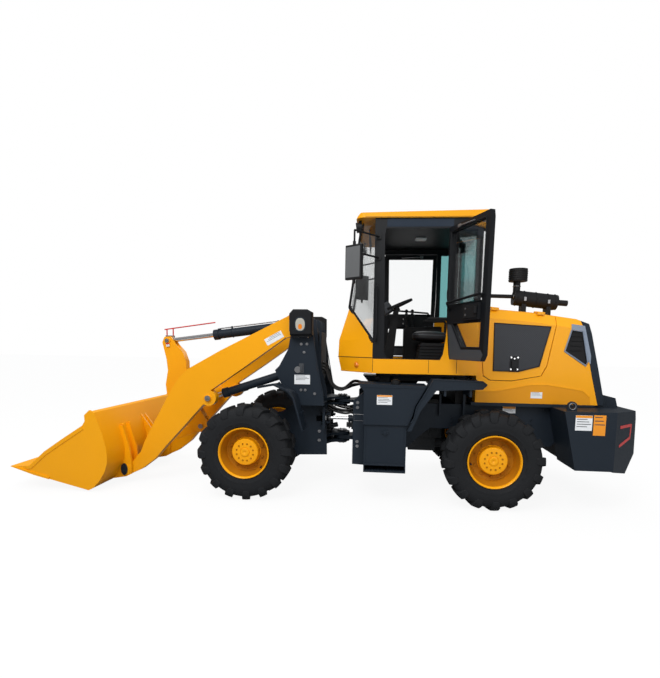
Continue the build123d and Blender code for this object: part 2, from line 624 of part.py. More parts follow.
def make_front_frame():
    tower_thick = PLATE
    frame = both_sides(side_plate(TOWER, TOWER_OUT, TOWER_OUT + tower_thick))
    frame += both_sides(side_plate(TOWER, TOWER_IN - tower_thick, TOWER_IN))
    frame += both_sides(side_plate(BASE, 330, 330 + tower_thick))
    frame += box(150, 470, -TOWER_OUT - tower_thick, TOWER_OUT + tower_thick, 925, 950)
    frame += box(150, 175, -450, 450, 662, 900)
    frame -= both_sides(box(100, 200, 190, 355, 690, 830))
    for side in (-1, 1):
        frame -= box(100, 255, side * 275 - 95, side * 275 + 95, STEER_Z - 31, STEER_Z + 31)
    frame += box(440, 465, -330, 330, 400, 925)
    frame -= rod((430, 0, 544), (475, 0, 533), 58)
    frame += box(225, 250, -TOWER_IN + 5, TOWER_IN - 5, 1000, 1700)
    frame += box(1015, 1040, -330, 330, 610, 675)
    fork = [(0, 90), (110, 150), (200, 330), (0, 0)]
    fork_plan = fork[:3] + [(x, -y) for x, y in fork[:3][::-1]]
    for low, high in ((FORK_UP[0], TONGUE_UP[0] - EYE_GAP), (TONGUE_UP[1] + EYE_GAP, FORK_UP[1]),
                      (FORK_LOW[0], TONGUE_LOW[0] - EYE_GAP), (TONGUE_LOW[1] + EYE_GAP, FORK_LOW[1])):
        frame += plan_plate(fork_plan, low, high) + rod((0, 0, low), (0, 0, high), 90)
    for low, high in ((FORK_UP[0] - 12, FORK_UP[1] + 12), (FORK_LOW[0] - 12, FORK_LOW[1] + 12)):
        frame += rod((0, 0, low), (0, 0, high), HINGE_RADIUS)
    for side in (-1, 1):
        frame += pin(BOOM_PIVOT, 45, side * (TOWER_IN - 30), side * (TOWER_OUT + 40))
        frame += pin(LIFT_BASE, 32, side * (TOWER_IN - 10), side * (TOWER_OUT + 10))
        for low, high in ((STEER_Z - 55, STEER_Z - 35), (STEER_Z + 35, STEER_Z + 55)):
            ear = [(110, side * 225), (110, side * 315), (200, side * 350), (200, side * 190)]
            frame += plan_plate(ear, low, high)
    frame += pin(TILT_BASE, 32, -TOWER_IN, TOWER_IN)
    return frame


save(make_front_frame(), "front_frame")

# Front drive shaft from the centre joint down to the front axle
save(rod((52, 0, SHAFT_Z), (FRONT_AXLE_X - 270, 0, WHEEL_Z + 12), 28), "front_shaft")

# Front fenders over the rear upper part of the front wheels
FRONT_FENDER = [(790, 1128), (625, 1160), (482, 1097), (425, 1029), (330, 700)]
front_fender = side_plate(strip(FRONT_FENDER, 12), TOWER_OUT + PLATE, 800)
save(both_sides(front_fender), "front_fenders")

# Headlamps on brackets beside the tower heads
LAMP_SIDE = [(500, 1650), (508, 1870), (469, 1915), (323, 1916), (271, 1888), (269, 1659)]
LENS_SIDE = [(392, 1690), (500, 1690), (506, 1800), (470, 1850), (420, 1850), (392, 1790)]
headlamp = side_plate(LAMP_SIDE, TOWER_OUT + PLATE, 628)
headlamp = chamfer(headlamp.faces().sort_by(Axis.Y)[-1].edges(), 14)
headlamp -= side_plate(shrink(LENS_SIDE, 12), 618, 640)
headlamp -= pin(BOOM_PIVOT, 46, TOWER_OUT + PLATE - 1, TOWER_OUT + 45)
headlamp += side_plate([(470, 1630), (470, 1650), (290, 1659), (290, 1640)], TOWER_OUT + PLATE, 600)
save(both_sides(headlamp), "headlamps")

# Boom: two box arms, cross tube, crank ears, bosses of the lift cylinders
ARM_TOP = [(330, 1800), (390, 1860), (475, 1889), (1273, 1482), (1640, 1275), (1741, 1172), (1822, 1048),
           (2070, 600), (2143, 457), (2180, 360), (2276, 244), (2340, 206)]
ARM_LOW = [(2350, 104), (2302, 100), (2185, 154), (2014, 285), (1893, 430),
           (1656, 689), (1597, 756), (1475, 890), (1383, 960), (1383, 1053), (1043, 1288), (575, 1624),
           (450, 1660), (335, 1715)]
CROSS_TUBE = (1640.0, 930.0)
ARM_END = 52.0


def make_boom():
    arm = side_plate(ARM_TOP + ARM_LOW, ARM_IN, ARM_OUT)
    arm += pin(LIFT_PIN, 85, ARM_IN, ARM_OUT)
    arm += pin(BUCKET_PIN, ARM_END, ARM_IN, ARM_OUT)
    arm += pin(LIFT_PIN, 50, LIFT_Y + 25 + EYE_GAP, ARM_IN)
    arm += pin(LIFT_PIN, 34, ARM_OUT, ARM_OUT + 18)
    boom = both_sides(arm)
    boom += pin(CROSS_TUBE, 85, -ARM_IN, ARM_IN)
    for side in (-1, 1):
        low = min(side * (CRANK_HALF + EYE_GAP), side * (CRANK_HALF + EYE_GAP + 30))
        boom += hull_bar(CROSS_TUBE, CRANK_PIVOT, 110, 80, low, low + 30)
    boom += pin(CRANK_PIVOT, 35, -CRANK_HALF - 50, CRANK_HALF + 50)
    for side in (-1, 1):
        for centre, radius in ((BOOM_PIVOT, 45), (BUCKET_PIN, 32)):
            boom -= pin(centre, radius + PIN_GAP, side * (ARM_IN - 5), side * (ARM_OUT + 5))
    return boom


save(make_boom(), "boom")

# Bellcrank: one cranked lever with forked ends
CRANK = [(2110, 1622), (2033, 1630), (1966, 1530), (1891, 1449), (1851, 1335), (1849, 1150), (1800, 960),
         (1612, 640), (1600, 560), (1650, 505), (1725, 500), (1790, 540), (1880, 690), (2050, 870),
         (2095, 960), (2106, 1063), (2076, 1230), (2090, 1363), (2137, 1560)]
crank = side_plate(CRANK, -CRANK_HALF, CRANK_HALF)
crank -= side_plate([(1900, 1500), (1900, 1700), (2200, 1700), (2200, 1500)], -CLEVIS_HALF, CLEVIS_HALF)
crank -= side_plate([(1560, 450), (1560, 680), (1900, 720), (1900, 450)], -CLEVIS_HALF, CLEVIS_HALF)
crank -= pin(CRANK_PIVOT, 35 + PIN_GAP, -CRANK_HALF - 1, CRANK_HALF + 1)
crank += pin(LINK_PIN, 30, -CRANK_HALF - 14, CRANK_HALF + 14)
crank += pin(TILT_PIN, 34, -CRANK_HALF - 14, -CLEVIS_HALF) + pin(TILT_PIN, 34, CLEVIS_HALF, CRANK_HALF + 14)
save(crank, "bellcrank")

# Link between bellcrank and bucket
link_half = CLEVIS_HALF - EYE_GAP
link = hull_bar(LINK_PIN, BUCKET_LINK_PIN, 58, 40, -link_half, link_half)
link -= pin(LINK_PIN, 30 + PIN_GAP, -link_half - 1, link_half + 1)
save(link, "link")

# Bucket: curved shell, side plates, bolt-on edge, back ribs with the hinge pins
BUCKET_HALF = 850.0
SIDE = [(3406, 238), (3154, 157), (2561, 14), (2500, 50), (2437, 123), (2380, 220), (2352, 305), (2350, 390),
        (2358, 470), (2404, 645), (2474, 831), (2525, 854), (2579, 803), (2576, 740), (2604, 695), (2827, 549),
        (3033, 407), (3202, 253), (3270, 243)]
SHELL = [(3154, 157), (2561, 14), (2500, 50), (2437, 123), (2380, 220), (2352, 305), (2350, 390), (2358, 470),
         (2404, 645), (2474, 831)]
OUTER_RIB = [(2368, 649), (2294, 390), (2275, 200), (2281, 107), (2338, 78), (2493, 51), (2437, 123),
             (2380, 220), (2352, 305), (2350, 390), (2358, 470), (2404, 645)]
LINK_EAR = [(2423, 700), (2377, 641), (2215, 420), (2225, 320), (2290, 300), (2352, 305), (2350, 390),
            (2358, 470), (2404, 645)]


def make_bucket():
    sides = both_sides(side_plate(SIDE, BUCKET_HALF - 25, BUCKET_HALF))
    shell = side_plate(strip(SHELL, -22), -BUCKET_HALF, BUCKET_HALF)
    edge = side_plate([(3406, 238), (3150, 156), (2990, 117), (2984, 140), (3142, 182), (3396, 246)],
                      -BUCKET_HALF - 10, BUCKET_HALF + 10)
    top = side_plate([(2474, 831), (2440, 740), (2410, 640), (2455, 640), (2500, 760), (2512, 845)],
                     -BUCKET_HALF, BUCKET_HALF)
    bucket = sides + shell + edge + top
    for low in (ARM_OUT + 5, ARM_IN - 5 - 20):
        thick = 28 if low > ARM_IN else 20
        bucket += both_sides(side_plate(OUTER_RIB, low, low + thick))
    bucket += both_sides(pin(BUCKET_PIN, 32, ARM_IN - 25, ARM_OUT + 45))
    bucket += both_sides(pin(BUCKET_PIN, 62, ARM_OUT + 33, ARM_OUT + 40))
    ear_in = CLEVIS_HALF + 2
    bucket += both_sides(side_plate(LINK_EAR, ear_in, ear_in + 22))
    bucket += both_sides(pin(BUCKET_LINK_PIN, 28, ear_in, ear_in + 40))
    return bucket


save(make_bucket(), "bucket")


# Cylinders: barrel with base eye and gland, rod with its eye
def make_barrel(base, end, y, radius, length, base_pin, eye_half):
    start = toward(base, end, 30)
    stop = toward(base, end, length)
    barrel = rod(at_y(start, y), at_y(stop, y), radius)
    barrel += rod(at_y(toward(base, end, length - 60), y), at_y(stop, y), radius + 9)
    barrel += pin(base, base_pin + 28, y - eye_half, y + eye_half)
    barrel -= pin(base, base_pin + PIN_GAP, y - radius - 20, y + radius + 20)
    bore = rod(at_y(toward(base, end, base_pin + 60), y), at_y(toward(base, end, length + 5), y), radius - 12)
    return barrel - bore


def make_rod(base, end, y, radius, start, eye_radius, eye_half, bore):
    shape = rod(at_y(toward(base, end, start), y), at_y(end, y), radius)
    shape += rod(at_y(toward(base, end, start), y), at_y(toward(base, end, start + 40), y), bore)
    return shape + pin(end, eye_radius, y - eye_half, y + eye_half)


lift_length = hypot(LIFT_PIN[0] - LIFT_BASE[0], LIFT_PIN[1] - LIFT_BASE[1])
lift_barrel = make_barrel(LIFT_BASE, LIFT_PIN, LIFT_Y, 45, lift_length - 120, 32, 45)
save(both_sides(lift_barrel), "lift_barrels")
lift_rod = make_rod(LIFT_BASE, LIFT_PIN, LIFT_Y, 25, 340, 52, 25, 32.5)
save(both_sides(lift_rod), "lift_rods")

tilt_length = hypot(TILT_PIN[0] - TILT_BASE[0], TILT_PIN[1] - TILT_BASE[1])
save(make_barrel(TILT_BASE, TILT_PIN, 0, 52, 1075, 32, 48), "tilt_barrel")
tilt_rod = make_rod(TILT_BASE, TILT_PIN, 0, 25, 900, 55, 25, 39.5)
MARKER_PAD = 1640.0
save(tilt_rod + box(2012, 2112, -16, 16, TILT_PIN[1], MARKER_PAD), "tilt_rod")
marker = rod((2128, 0, 1709), (1512, 0, 1800), 7)
for x, top in ((2024, 1724), (2100, 1713)):
    marker += rod((x, 0, MARKER_PAD), (x, 0, top), 7)
save(marker, "level_marker")

# Steering cylinders, one each side of the articulation
for name, side in (("left", 1), ("right", -1)):
    base = Vector(STEER_BASE[0], side * STEER_BASE[1], STEER_Z)
    end = Vector(STEER_PIN[0], side * STEER_PIN[1], STEER_Z)
    run = (end - base).normalized()
    reach = (end - base).length
    barrel = rod(tuple(base + run * 30), tuple(base + run * 470), 32)
    barrel += rod(tuple(base + run * 430), tuple(base + run * 470), 38)
    barrel += Pos(*base) * Cylinder(45, 50)
    barrel -= Pos(*base) * Cylinder(22 + PIN_GAP, 120)
    barrel -= rod(tuple(base + run * 85), tuple(base + run * 475), 24)
    save(barrel, f"steer_barrel_{name}")
    steer_rod = rod(tuple(base + run * 270), tuple(end), 16)
    steer_rod += rod(tuple(base + run * 270), tuple(base + run * 300), 23.5)
    steer_rod += Pos(*end) * Cylinder(42, 50)
    save(steer_rod, f"steer_rod_{name}")
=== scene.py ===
import json
from math import atan2, cos, hypot, pi, radians, sin, sqrt

import bmesh
import bpy
from mathutils import Matrix, Vector


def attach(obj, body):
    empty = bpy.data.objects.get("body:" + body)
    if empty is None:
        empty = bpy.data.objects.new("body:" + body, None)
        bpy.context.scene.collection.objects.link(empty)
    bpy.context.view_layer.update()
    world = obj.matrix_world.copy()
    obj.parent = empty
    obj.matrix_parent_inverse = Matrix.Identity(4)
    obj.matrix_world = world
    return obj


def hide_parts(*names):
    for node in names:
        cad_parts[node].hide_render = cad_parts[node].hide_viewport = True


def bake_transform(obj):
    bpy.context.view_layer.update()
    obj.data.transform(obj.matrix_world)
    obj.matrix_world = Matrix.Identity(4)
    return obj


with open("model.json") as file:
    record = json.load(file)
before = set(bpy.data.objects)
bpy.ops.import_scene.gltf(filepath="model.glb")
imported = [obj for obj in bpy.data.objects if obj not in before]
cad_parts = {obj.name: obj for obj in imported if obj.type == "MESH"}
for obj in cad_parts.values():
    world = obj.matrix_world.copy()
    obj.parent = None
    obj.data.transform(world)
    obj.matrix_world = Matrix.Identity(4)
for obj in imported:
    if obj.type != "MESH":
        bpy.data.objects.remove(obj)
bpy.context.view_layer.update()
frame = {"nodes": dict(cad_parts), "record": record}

# Paints and metals
# Each finish is procedural: an even base, a fine noise in roughness and shade, and a soft bump
body_of_node = {n: b for b, nodes in frame["record"]["behaviour"]["bodies"].items() for n in nodes}


def finish(name, colour, roughness, metallic=0.0, coat=0.0, grain=40.0, spread=0.06, bump=0.0, dust=0.0, gloss=0.5):
    made = bpy.data.materials.new(name)
    made.use_nodes = True
    nodes, links = made.node_tree.nodes, made.node_tree.links
    shader = nodes["Principled BSDF"]
    shader.inputs["Metallic"].default_value = metallic
    shader.inputs["Coat Weight"].default_value = coat
    shader.inputs["Coat Roughness"].default_value = 0.12
    shader.inputs["Specular IOR Level"].default_value = gloss
    place = nodes.new("ShaderNodeTexCoord")
    noise = nodes.new("ShaderNodeTexNoise")
    noise.inputs["Scale"].default_value = grain
    noise.inputs["Detail"].default_value = 6
    links.new(place.outputs["Object"], noise.inputs["Vector"])
    shade = nodes.new("ShaderNodeMapRange")
    shade.inputs["To Min"].default_value = roughness - spread
    shade.inputs["To Max"].default_value = roughness + spread
    links.new(noise.outputs["Fac"], shade.inputs["Value"])
    links.new(shade.outputs["Result"], shader.inputs["Roughness"])
    broad = nodes.new("ShaderNodeTexNoise")
    broad.inputs["Scale"].default_value = 2.3
    broad.inputs["Detail"].default_value = 4
    links.new(place.outputs["Object"], broad.inputs["Vector"])
    blend = nodes.new("ShaderNodeMix")
    blend.data_type = "RGBA"
    pale = [c + (0.35 - c) * dust for c in colour]
    blend.inputs["A"].default_value = (*[c * (1 - spread) for c in colour], 1)
    blend.inputs["B"].default_value = (*[c + spread * 0.4 * c for c in pale], 1)
    links.new(broad.outputs["Fac"], blend.inputs["Factor"])
    links.new(blend.outputs["Result"], shader.inputs["Base Color"])
    if bump:
        relief = nodes.new("ShaderNodeBump")
        relief.inputs["Strength"].default_value = bump
        relief.inputs["Distance"].default_value = 0.002
        links.new(noise.outputs["Fac"], relief.inputs["Height"])
        links.new(relief.outputs["Normal"], shader.inputs["Normal"])
    return made


yellow = finish("yellow_paint", (0.92, 0.385, 0.002), 0.40, coat=0.10, grain=60, bump=0.04, gloss=0.25)
# A darker copy of the yellow paint for inner faces and creases: painted shade
yellow_inner_shade = finish("yellow_inner_shade", (0.80, 0.30, 0.006), 0.5, grain=60, bump=0.06)
slate = finish("slate_paint", (0.010, 0.017, 0.027), 0.5, grain=70, bump=0.08, dust=0.01, gloss=0.25)
black = finish("cab_black_paint", (0.005, 0.006, 0.008), 0.45, grain=80, bump=0.05, gloss=0.3)
plastic = finish("black_plastic", (0.009, 0.009, 0.010), 0.6, grain=240, spread=0.1, bump=0.2, gloss=0.3)
rubber = finish("tyre_rubber", (0.010, 0.011, 0.013), 0.8, grain=120, spread=0.1, bump=0.25, dust=0.015, gloss=0.25)
hose_rubber = finish("hose_rubber", (0.008, 0.008, 0.009), 0.55, grain=200, spread=0.08, bump=0.2)
cast = finish("cast_iron", (0.05, 0.055, 0.06), 0.7, metallic=0.3, grain=150, spread=0.1, bump=0.4)
steel = finish("bare_steel", (0.35, 0.35, 0.36), 0.4, metallic=0.9, grain=120, spread=0.1, bump=0.1)
worn = finish("worn_edge", (0.78, 0.33, 0.02), 0.5, grain=30, spread=0.12, bump=0.15)
chrome = finish("chrome", (0.78, 0.79, 0.80), 0.12, metallic=1.0, grain=30, spread=0.03)
red = finish("red_paint", (0.60, 0.01, 0.008), 0.4, coat=0.3)
orange = finish("orange_label", (0.86, 0.30, 0.01), 0.45)
white = finish("white_label", (0.80, 0.82, 0.84), 0.45)
grey_trim = finish("grey_trim", (0.045, 0.05, 0.058), 0.55, grain=160, bump=0.15)
vent_blue = finish("vent_surround", (0.20, 0.25, 0.33), 0.4, coat=0.3)
vinyl = finish("seat_vinyl", (0.010, 0.010, 0.012), 0.55, grain=320, spread=0.1, bump=0.45)
lamp_amber = finish("amber_lens", (0.80, 0.22, 0.01), 0.15, coat=0.8)
lamp_red = finish("red_lens", (0.45, 0.01, 0.01), 0.15, coat=0.8)
lamp_clear = finish("clear_lens", (0.62, 0.60, 0.52), 0.12, metallic=0.3, coat=0.9)


def glazing(name, tint, clear, most, roughness=0.02):
    made = bpy.data.materials.new(name)
    made.use_nodes = True
    nodes, links = made.node_tree.nodes, made.node_tree.links
    nodes.remove(nodes["Principled BSDF"])
    through = nodes.new("ShaderNodeBsdfTransparent")
    through.inputs["Color"].default_value = (*tint, 1)
    gloss = nodes.new("ShaderNodeBsdfGlossy")
    gloss.inputs["Roughness"].default_value = roughness
    fresnel = nodes.new("ShaderNodeLayerWeight")
    fresnel.inputs["Blend"].default_value = 0.25
    amount = nodes.new("ShaderNodeMapRange")
    amount.inputs["To Min"].default_value = 1 - clear
    amount.inputs["To Max"].default_value = most
    links.new(fresnel.outputs["Fresnel"], amount.inputs["Value"])
    mix = nodes.new("ShaderNodeMixShader")
    links.new(amount.outputs["Result"], mix.inputs["Fac"])
    links.new(through.outputs["BSDF"], mix.inputs[1])
    links.new(gloss.outputs["BSDF"], mix.inputs[2])
    links.new(mix.outputs["Shader"], nodes["Material Output"].inputs["Surface"])
    return made


clear_glass = glazing("clear_glass", (0.985, 0.99, 0.99), 0.985, 0.35)
tinted_glass = glazing("tinted_glass", (0.42, 0.66, 0.66), 0.93, 0.5)

# Softened plates and castings
# Every welded or cast piece keeps its place and gets rounded edges, so that light runs along them
FINISHES = {
    "body_yellow": yellow, "chassis_dark": slate, "engine_grey": cast, "cab_black": black,
    "black_plastic": plastic, "chrome_rod": chrome, "tyre_rubber": rubber, "tinted_glass": clear_glass,
    "seat_fabric": vinyl, "marker_red": red, "hose_rubber": hose_rubber,
}
SPECIAL = {
    "cab_windows": tinted_glass, "rear_grille": slate, "side_vents": plastic, "cab_floor": plastic,
    "air_cleaner": plastic, "headlamps": black, "bucket": yellow, "rear_shaft": cast,
    "front_shaft": cast, "gearbox": cast, "engine_block": cast,
}
WIDTHS = {
    "bucket": 0.004, "boom": 0.006, "bellcrank": 0.008, "counterweight": 0.010, "cab_roof": 0.014,
    "hood": 0.008, "cab_nose": 0.008, "cab_lower": 0.006, "air_cleaner": 0.006, "mirrors": 0.006,
    "level_marker": 0.001, "steering_column": 0.004, "engine_block": 0.02, "gearbox": 0.015,
    "headlamps": 0.006, "hood_door_left": 0.003, "hood_door_right": 0.003, "cab_frame": 0.006,
    "left_door": 0.005, "right_door": 0.005, "link": 0.006, "seat_base": 0.012, "cab_floor": 0.006,
}
KEPT_SHARP = ["windscreen", "cab_windows", "left_door_glass", "right_door_glass"]
slot_of = {s["node"]: s["material_slot"] for s in frame["record"]["subparts"]}
own_form = [n for n in frame["nodes"] if n.startswith(("tyre_", "rim_")) or n in ("seat", "mirrors")]
for node, source in frame["nodes"].items():
    if node in own_form:
        continue
    mesh = source.data.copy()
    form = bmesh.new()
    form.from_mesh(mesh)
    bmesh.ops.remove_doubles(form, verts=form.verts, dist=1e-5)
    bmesh.ops.dissolve_limit(form, angle_limit=radians(0.5), verts=form.verts, edges=form.edges)
    form.verts.index_update()
    verts, faces = [v.co.copy() for v in form.verts], [[v.index for v in face.verts] for face in form.faces]
    form.free()
    mesh = bpy.data.meshes.new(f"{node}_soft")
    mesh.from_pydata(verts, [], faces)
    mesh.materials.append(SPECIAL.get(node, FINISHES[slot_of[node]]))
    mesh.shade_smooth()
    mesh.set_sharp_from_angle(angle=radians(32))
    soft = bpy.data.objects.new(f"{node}_soft", mesh)
    bpy.context.collection.objects.link(soft)
    if node not in KEPT_SHARP:
        bevel = soft.modifiers.new("rounding", "BEVEL")
        bevel.width = WIDTHS.get(node, 0.004)
        bevel.segments = 2
        bevel.limit_method = "ANGLE"
        bevel.angle_limit = radians(32)
        bevel.harden_normals = True
    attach(soft, body_of_node[node])
    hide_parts(node)


# Tyres
# Wide skewed lug blocks wrap from the tread over the shoulder onto a smooth sidewall with a raised ring
def add(name, shapes, material, body, smooth=32, bevel=0.0, segments=1):
    verts, faces = [], []
    for shape_verts, shape_faces in shapes:
        base = len(verts)
        verts += [tuple(v) for v in shape_verts]
        faces += [[base + i for i in face] for face in shape_faces]
    mesh = bpy.data.meshes.new(name)
    mesh.from_pydata(verts, [], faces)
    form = bmesh.new()
    form.from_mesh(mesh)
    bmesh.ops.recalc_face_normals(form, faces=form.faces)
    form.to_mesh(mesh)
    form.free()
    mesh.materials.append(material)
    if smooth:
        mesh.shade_smooth()
        mesh.set_sharp_from_angle(angle=radians(smooth))
    made = bpy.data.objects.new(name, mesh)
    bpy.context.collection.objects.link(made)
    if bevel:
        rounding = made.modifiers.new("rounding", "BEVEL")
        rounding.width = bevel
        rounding.segments = segments
        rounding.limit_method = "ANGLE"
        rounding.angle_limit = radians(35)
        rounding.harden_normals = True
    if body:
        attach(made, body)
    return made


def lathe(profile, centre, axis="Y", steps=72, turn=0.0, closed=True):
    verts, faces = [], []
    for i in range(steps):
        a = turn + 2 * pi * i / steps
        for along, r in profile:
            spot = {"Y": (r * sin(a), along, r * cos(a)), "X": (along, r * cos(a), r * sin(a)),
                    "Z": (r * cos(a), r * sin(a), along)}[axis]
            verts.append(Vector(centre) + Vector(spot))
    n = len(profile)
    last = n if closed else n - 1
    for i in range(steps):
        j = (i + 1) % steps
        for k in range(last):
            m = (k + 1) % n
            faces.append([i * n + k, i * n + m, j * n + m, j * n + k])
    return verts, faces


TYRE_PROFILE = [
    (0.140, 0.256), (0.150, 0.262), (0.160, 0.285), (0.1655, 0.300), (0.168, 0.304), (0.1675, 0.309),
    (0.170, 0.330), (0.173, 0.350), (0.172, 0.372), (0.168, 0.395), (0.160, 0.418), (0.148, 0.436),
    (0.130, 0.446), (0.080, 0.451), (0.0, 0.453),
]
LUG_PATH = [
    ((0.008, 0.440), (0.012, 0.4792)), ((0.070, 0.440), (0.070, 0.4795)), ((0.128, 0.436), (0.137, 0.4765)),
    ((0.150, 0.424), (0.167, 0.448)), ((0.160, 0.402), (0.1765, 0.412)), ((0.164, 0.376), (0.1745, 0.380)),
]


def lug(angle, side):
    verts, faces = [], []
    for step, (base, top) in enumerate(LUG_PATH):
        y_mid = abs(top[0])
        skew = (y_mid - 0.07) * 0.31
        for (y, r), half in ((base, 0.048), (top, 0.039), (top, 0.0), (top, -0.039), (base, -0.048)):
            if step == 5:
                half *= 0.8
            a = angle + (half + skew) / 0.46
            verts.append((r * sin(a), side * y, r * cos(a)))
    for s in range(len(LUG_PATH) - 1):
        for k in range(4):
            a = s * 5 + k
            faces.append([a, a + 1, a + 6, a + 5])
    faces += [[0, 1, 2, 3, 4], [29, 28, 27, 26, 25]]
    return verts, faces


profile = TYRE_PROFILE + [(-y, r) for y, r in TYRE_PROFILE[-2::-1]]
LUGS = 16
tyre_shapes = [lathe(profile + [(-0.135, 0.256), (0.135, 0.256)], (0, 0, 0), steps=96)]
for i in range(LUGS):
    tyre_shapes.append(lug(2 * pi * i / LUGS, 1))
    tyre_shapes.append(lug(2 * pi * (i + 0.5) / LUGS, -1))
WHEELS = {"front_left": (0.9, 1), "front_right": (0.9, -1), "rear_left": (-1.53, 1), "rear_right": (-1.53, -1)}
for corner, (x, side) in WHEELS.items():
    tyre = add(f"tyre_{corner}_lugged", tyre_shapes, rubber, None, smooth=38, bevel=0.005, segments=2)
    tyre.data.transform(Matrix.Translation((x, side * 0.75, 0.48)) @ Matrix.Rotation(0 if side > 0 else pi, 4, "Z"))
    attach(tyre, f"wheel_{corner}")
    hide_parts(f"tyre_{corner}")


# Rims
# Rolled flange, deep dish and raised hub with two rings of bolts, the valve standing in the dish
def block(x0, x1, y0, y1, z0, z1):
    verts = [(x, y, z) for x in (x0, x1) for y in (y0, y1) for z in (z0, z1)]
    return verts, [[0, 1, 3, 2], [4, 6, 7, 5], [0, 4, 5, 1], [2, 3, 7, 6], [0, 2, 6, 4], [1, 5, 7, 3]]


def rod(start, end, radius, sides=16, end_radius=None):
    start, end = Vector(start), Vector(end)
    way = (end - start).normalized()
    side = way.orthogonal().normalized()
    other = way.cross(side)
    verts, faces = [], []
    for centre, r in ((start, radius), (end, radius if end_radius is None else end_radius)):
        for i in range(sides):
            a = 2 * pi * i / sides
            verts.append(centre + side * (r * cos(a)) + other * (r * sin(a)))
    for i in range(sides):
        j = (i + 1) % sides
        faces.append([i, j, sides + j, sides + i])
    faces += [list(range(sides))[::-1], list(range(sides, 2 * sides))]
    return verts, faces


def bolt(place, way, radius=0.010, height=None):
    place, way = Vector(place), Vector(way).normalized()
    height = radius * 0.8 if height is None else height
    washer = rod(place, place + way * (radius * 0.22), radius * 1.45, 16)
    head = rod(place + way * (radius * 0.2), place + way * (radius * 0.2 + height), radius, 6)
    end = rod(place + way * (radius * 0.1 + height), place + way * (radius * 0.45 + height), radius * 0.5, 10)
    return [washer, head, end]


RIM_PROFILE = [
    (-0.150, 0.2535), (-0.158, 0.2535), (-0.158, 0.245), (-0.060, 0.232), (0.004, 0.228), (0.004, 0.05),
    (0.060, 0.048), (0.096, 0.048), (0.100, 0.044), (0.1045, 0.050), (0.1045, 0.118), (0.102, 0.128),
    (0.095, 0.134), (0.040, 0.1365), (0.034, 0.142), (0.032, 0.150), (0.032, 0.198), (0.036, 0.206),
    (0.060, 0.214), (0.115, 0.229), (0.140, 0.2385), (0.150, 0.240), (0.157, 0.244), (0.1605, 0.249),
    (0.1600, 0.254), (0.156, 0.2565), (0.150, 0.2562), (0.146, 0.2540),
]
DISH_PROFILE = [
    (0.0340, 0.1430), (0.0312, 0.1500), (0.0312, 0.1985), (0.0352, 0.2066), (0.0598, 0.2147), (0.1150, 0.2297),
    (0.1386, 0.2388), (0.1380, 0.2375), (0.1152, 0.2280), (0.0605, 0.2130), (0.0368, 0.2050), (0.0328, 0.1970),
    (0.0328, 0.1510),
]
# The dish and its bolts get a darker, browner yellow than the rim: partly dirt, partly painted shade of the deep dish
dish_dirt_and_shade = finish("dish_dust_and_shade", (0.46, 0.165, 0.003), 0.62, grain=40, spread=0.3, gloss=0.15)
for corner, (x, side) in WHEELS.items():
    dish = [lathe(DISH_PROFILE, (0, 0, 0), steps=96)]
    shapes = [lathe(RIM_PROFILE, (0, 0, 0), steps=96)]
    shapes.append(lathe([(0.092, 0.0), (0.101, 0.0), (0.112, 0.020), (0.113, 0.035), (0.110, 0.043), (0.100, 0.046),
                         (0.092, 0.046)], (0, 0, 0), steps=48, closed=False))
    for i in range(10):
        a = 2 * pi * i / 10
        dish += bolt((0.168 * sin(a), 0.032, 0.168 * cos(a)), (0, 1, 0), 0.012, 0.014)
    for i in range(12):
        a = 2 * pi * (i + 0.5) / 12
        dish += bolt((0.086 * sin(a), 0.104, 0.086 * cos(a)), (0, 1, 0), 0.0065)
    valve = radians(-130 if corner.startswith("front") else 98)
    spot = Vector((sin(valve) * 0.218, 0.06, cos(valve) * 0.218))
    rim = add(f"rim_{corner}_dished", shapes, yellow, None, smooth=35)
    lining = add(f"dish_{corner}", dish, dish_dirt_and_shade, None, smooth=35)
    stem = add(f"valve_{corner}", [rod(spot, spot + Vector((0, 0.06, 0)), 0.006, 10),
                                   rod(spot + Vector((0, 0.06, 0)), spot + Vector((0, 0.072, 0)), 0.009, 10)],
               plastic, None)
    turn = Matrix.Translation((x, side * 0.75, 0.48)) @ Matrix.Rotation(0 if side > 0 else pi, 4, "Z")
    for made in (rim, lining, stem):
        made.data.transform(turn)
        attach(made, f"wheel_{corner}")
    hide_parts(f"rim_{corner}")


# Bucket
# Bolted edge plate, side cutters and pin covers on the ribs
def both(shapes):
    flipped = [([(v[0], -v[1], v[2]) for v in verts], [face[::-1] for face in faces]) for verts, faces in shapes]
    return list(shapes) + flipped


def prism(outline, y0, y1):
    n = len(outline)
    verts = [(x, y0, z) for x, z in outline] + [(x, y1, z) for x, z in outline]
    faces = [[i, (i + 1) % n, n + (i + 1) % n, n + i] for i in range(n)]
    return verts, faces + [list(range(n))[::-1], list(range(n, 2 * n))]


down = Vector((81.0, 0, -256.0)).normalized()
edge_bolts = []
for i in range(9):
    y = -0.76 + i * 0.19
    top = Vector((3.215, y, 0.1995))
    edge_bolts += bolt(top, (-0.30, 0, 0.954), 0.013, 0.008)
add("bucket_edge_bolts", edge_bolts, steel, "bucket")
band = [(3.262, 0.241), (3.202, 0.250), (3.033, 0.404), (2.827, 0.546), (2.608, 0.690), (2.590, 0.656), (2.806, 0.512),
        (3.011, 0.373), (3.180, 0.222), (3.225, 0.212)]
add("bucket_side_bands", both([prism(band, 0.8502, 0.8565)]), yellow, "bucket", bevel=0.002)
covers = []
for y in (0.5405,):
    oval = [(2.352 + 0.036 * cos(2 * pi * i / 32), 0.163 + 0.066 * sin(2 * pi * i / 32)) for i in range(32)]
    covers.append(prism(oval, y, y + 0.012))
    for z in (0.135, 0.192):
        covers += bolt((2.352, y + 0.012, z), (0, 1, 0), 0.012)
add("bucket_pin_covers", both(covers), slate, "bucket", bevel=0.002)
seams = []
for y in (0.502, 0.375):
    seams.append(rod((2.365, y, 0.66), (2.405, y, 0.655), 0.006, 8))
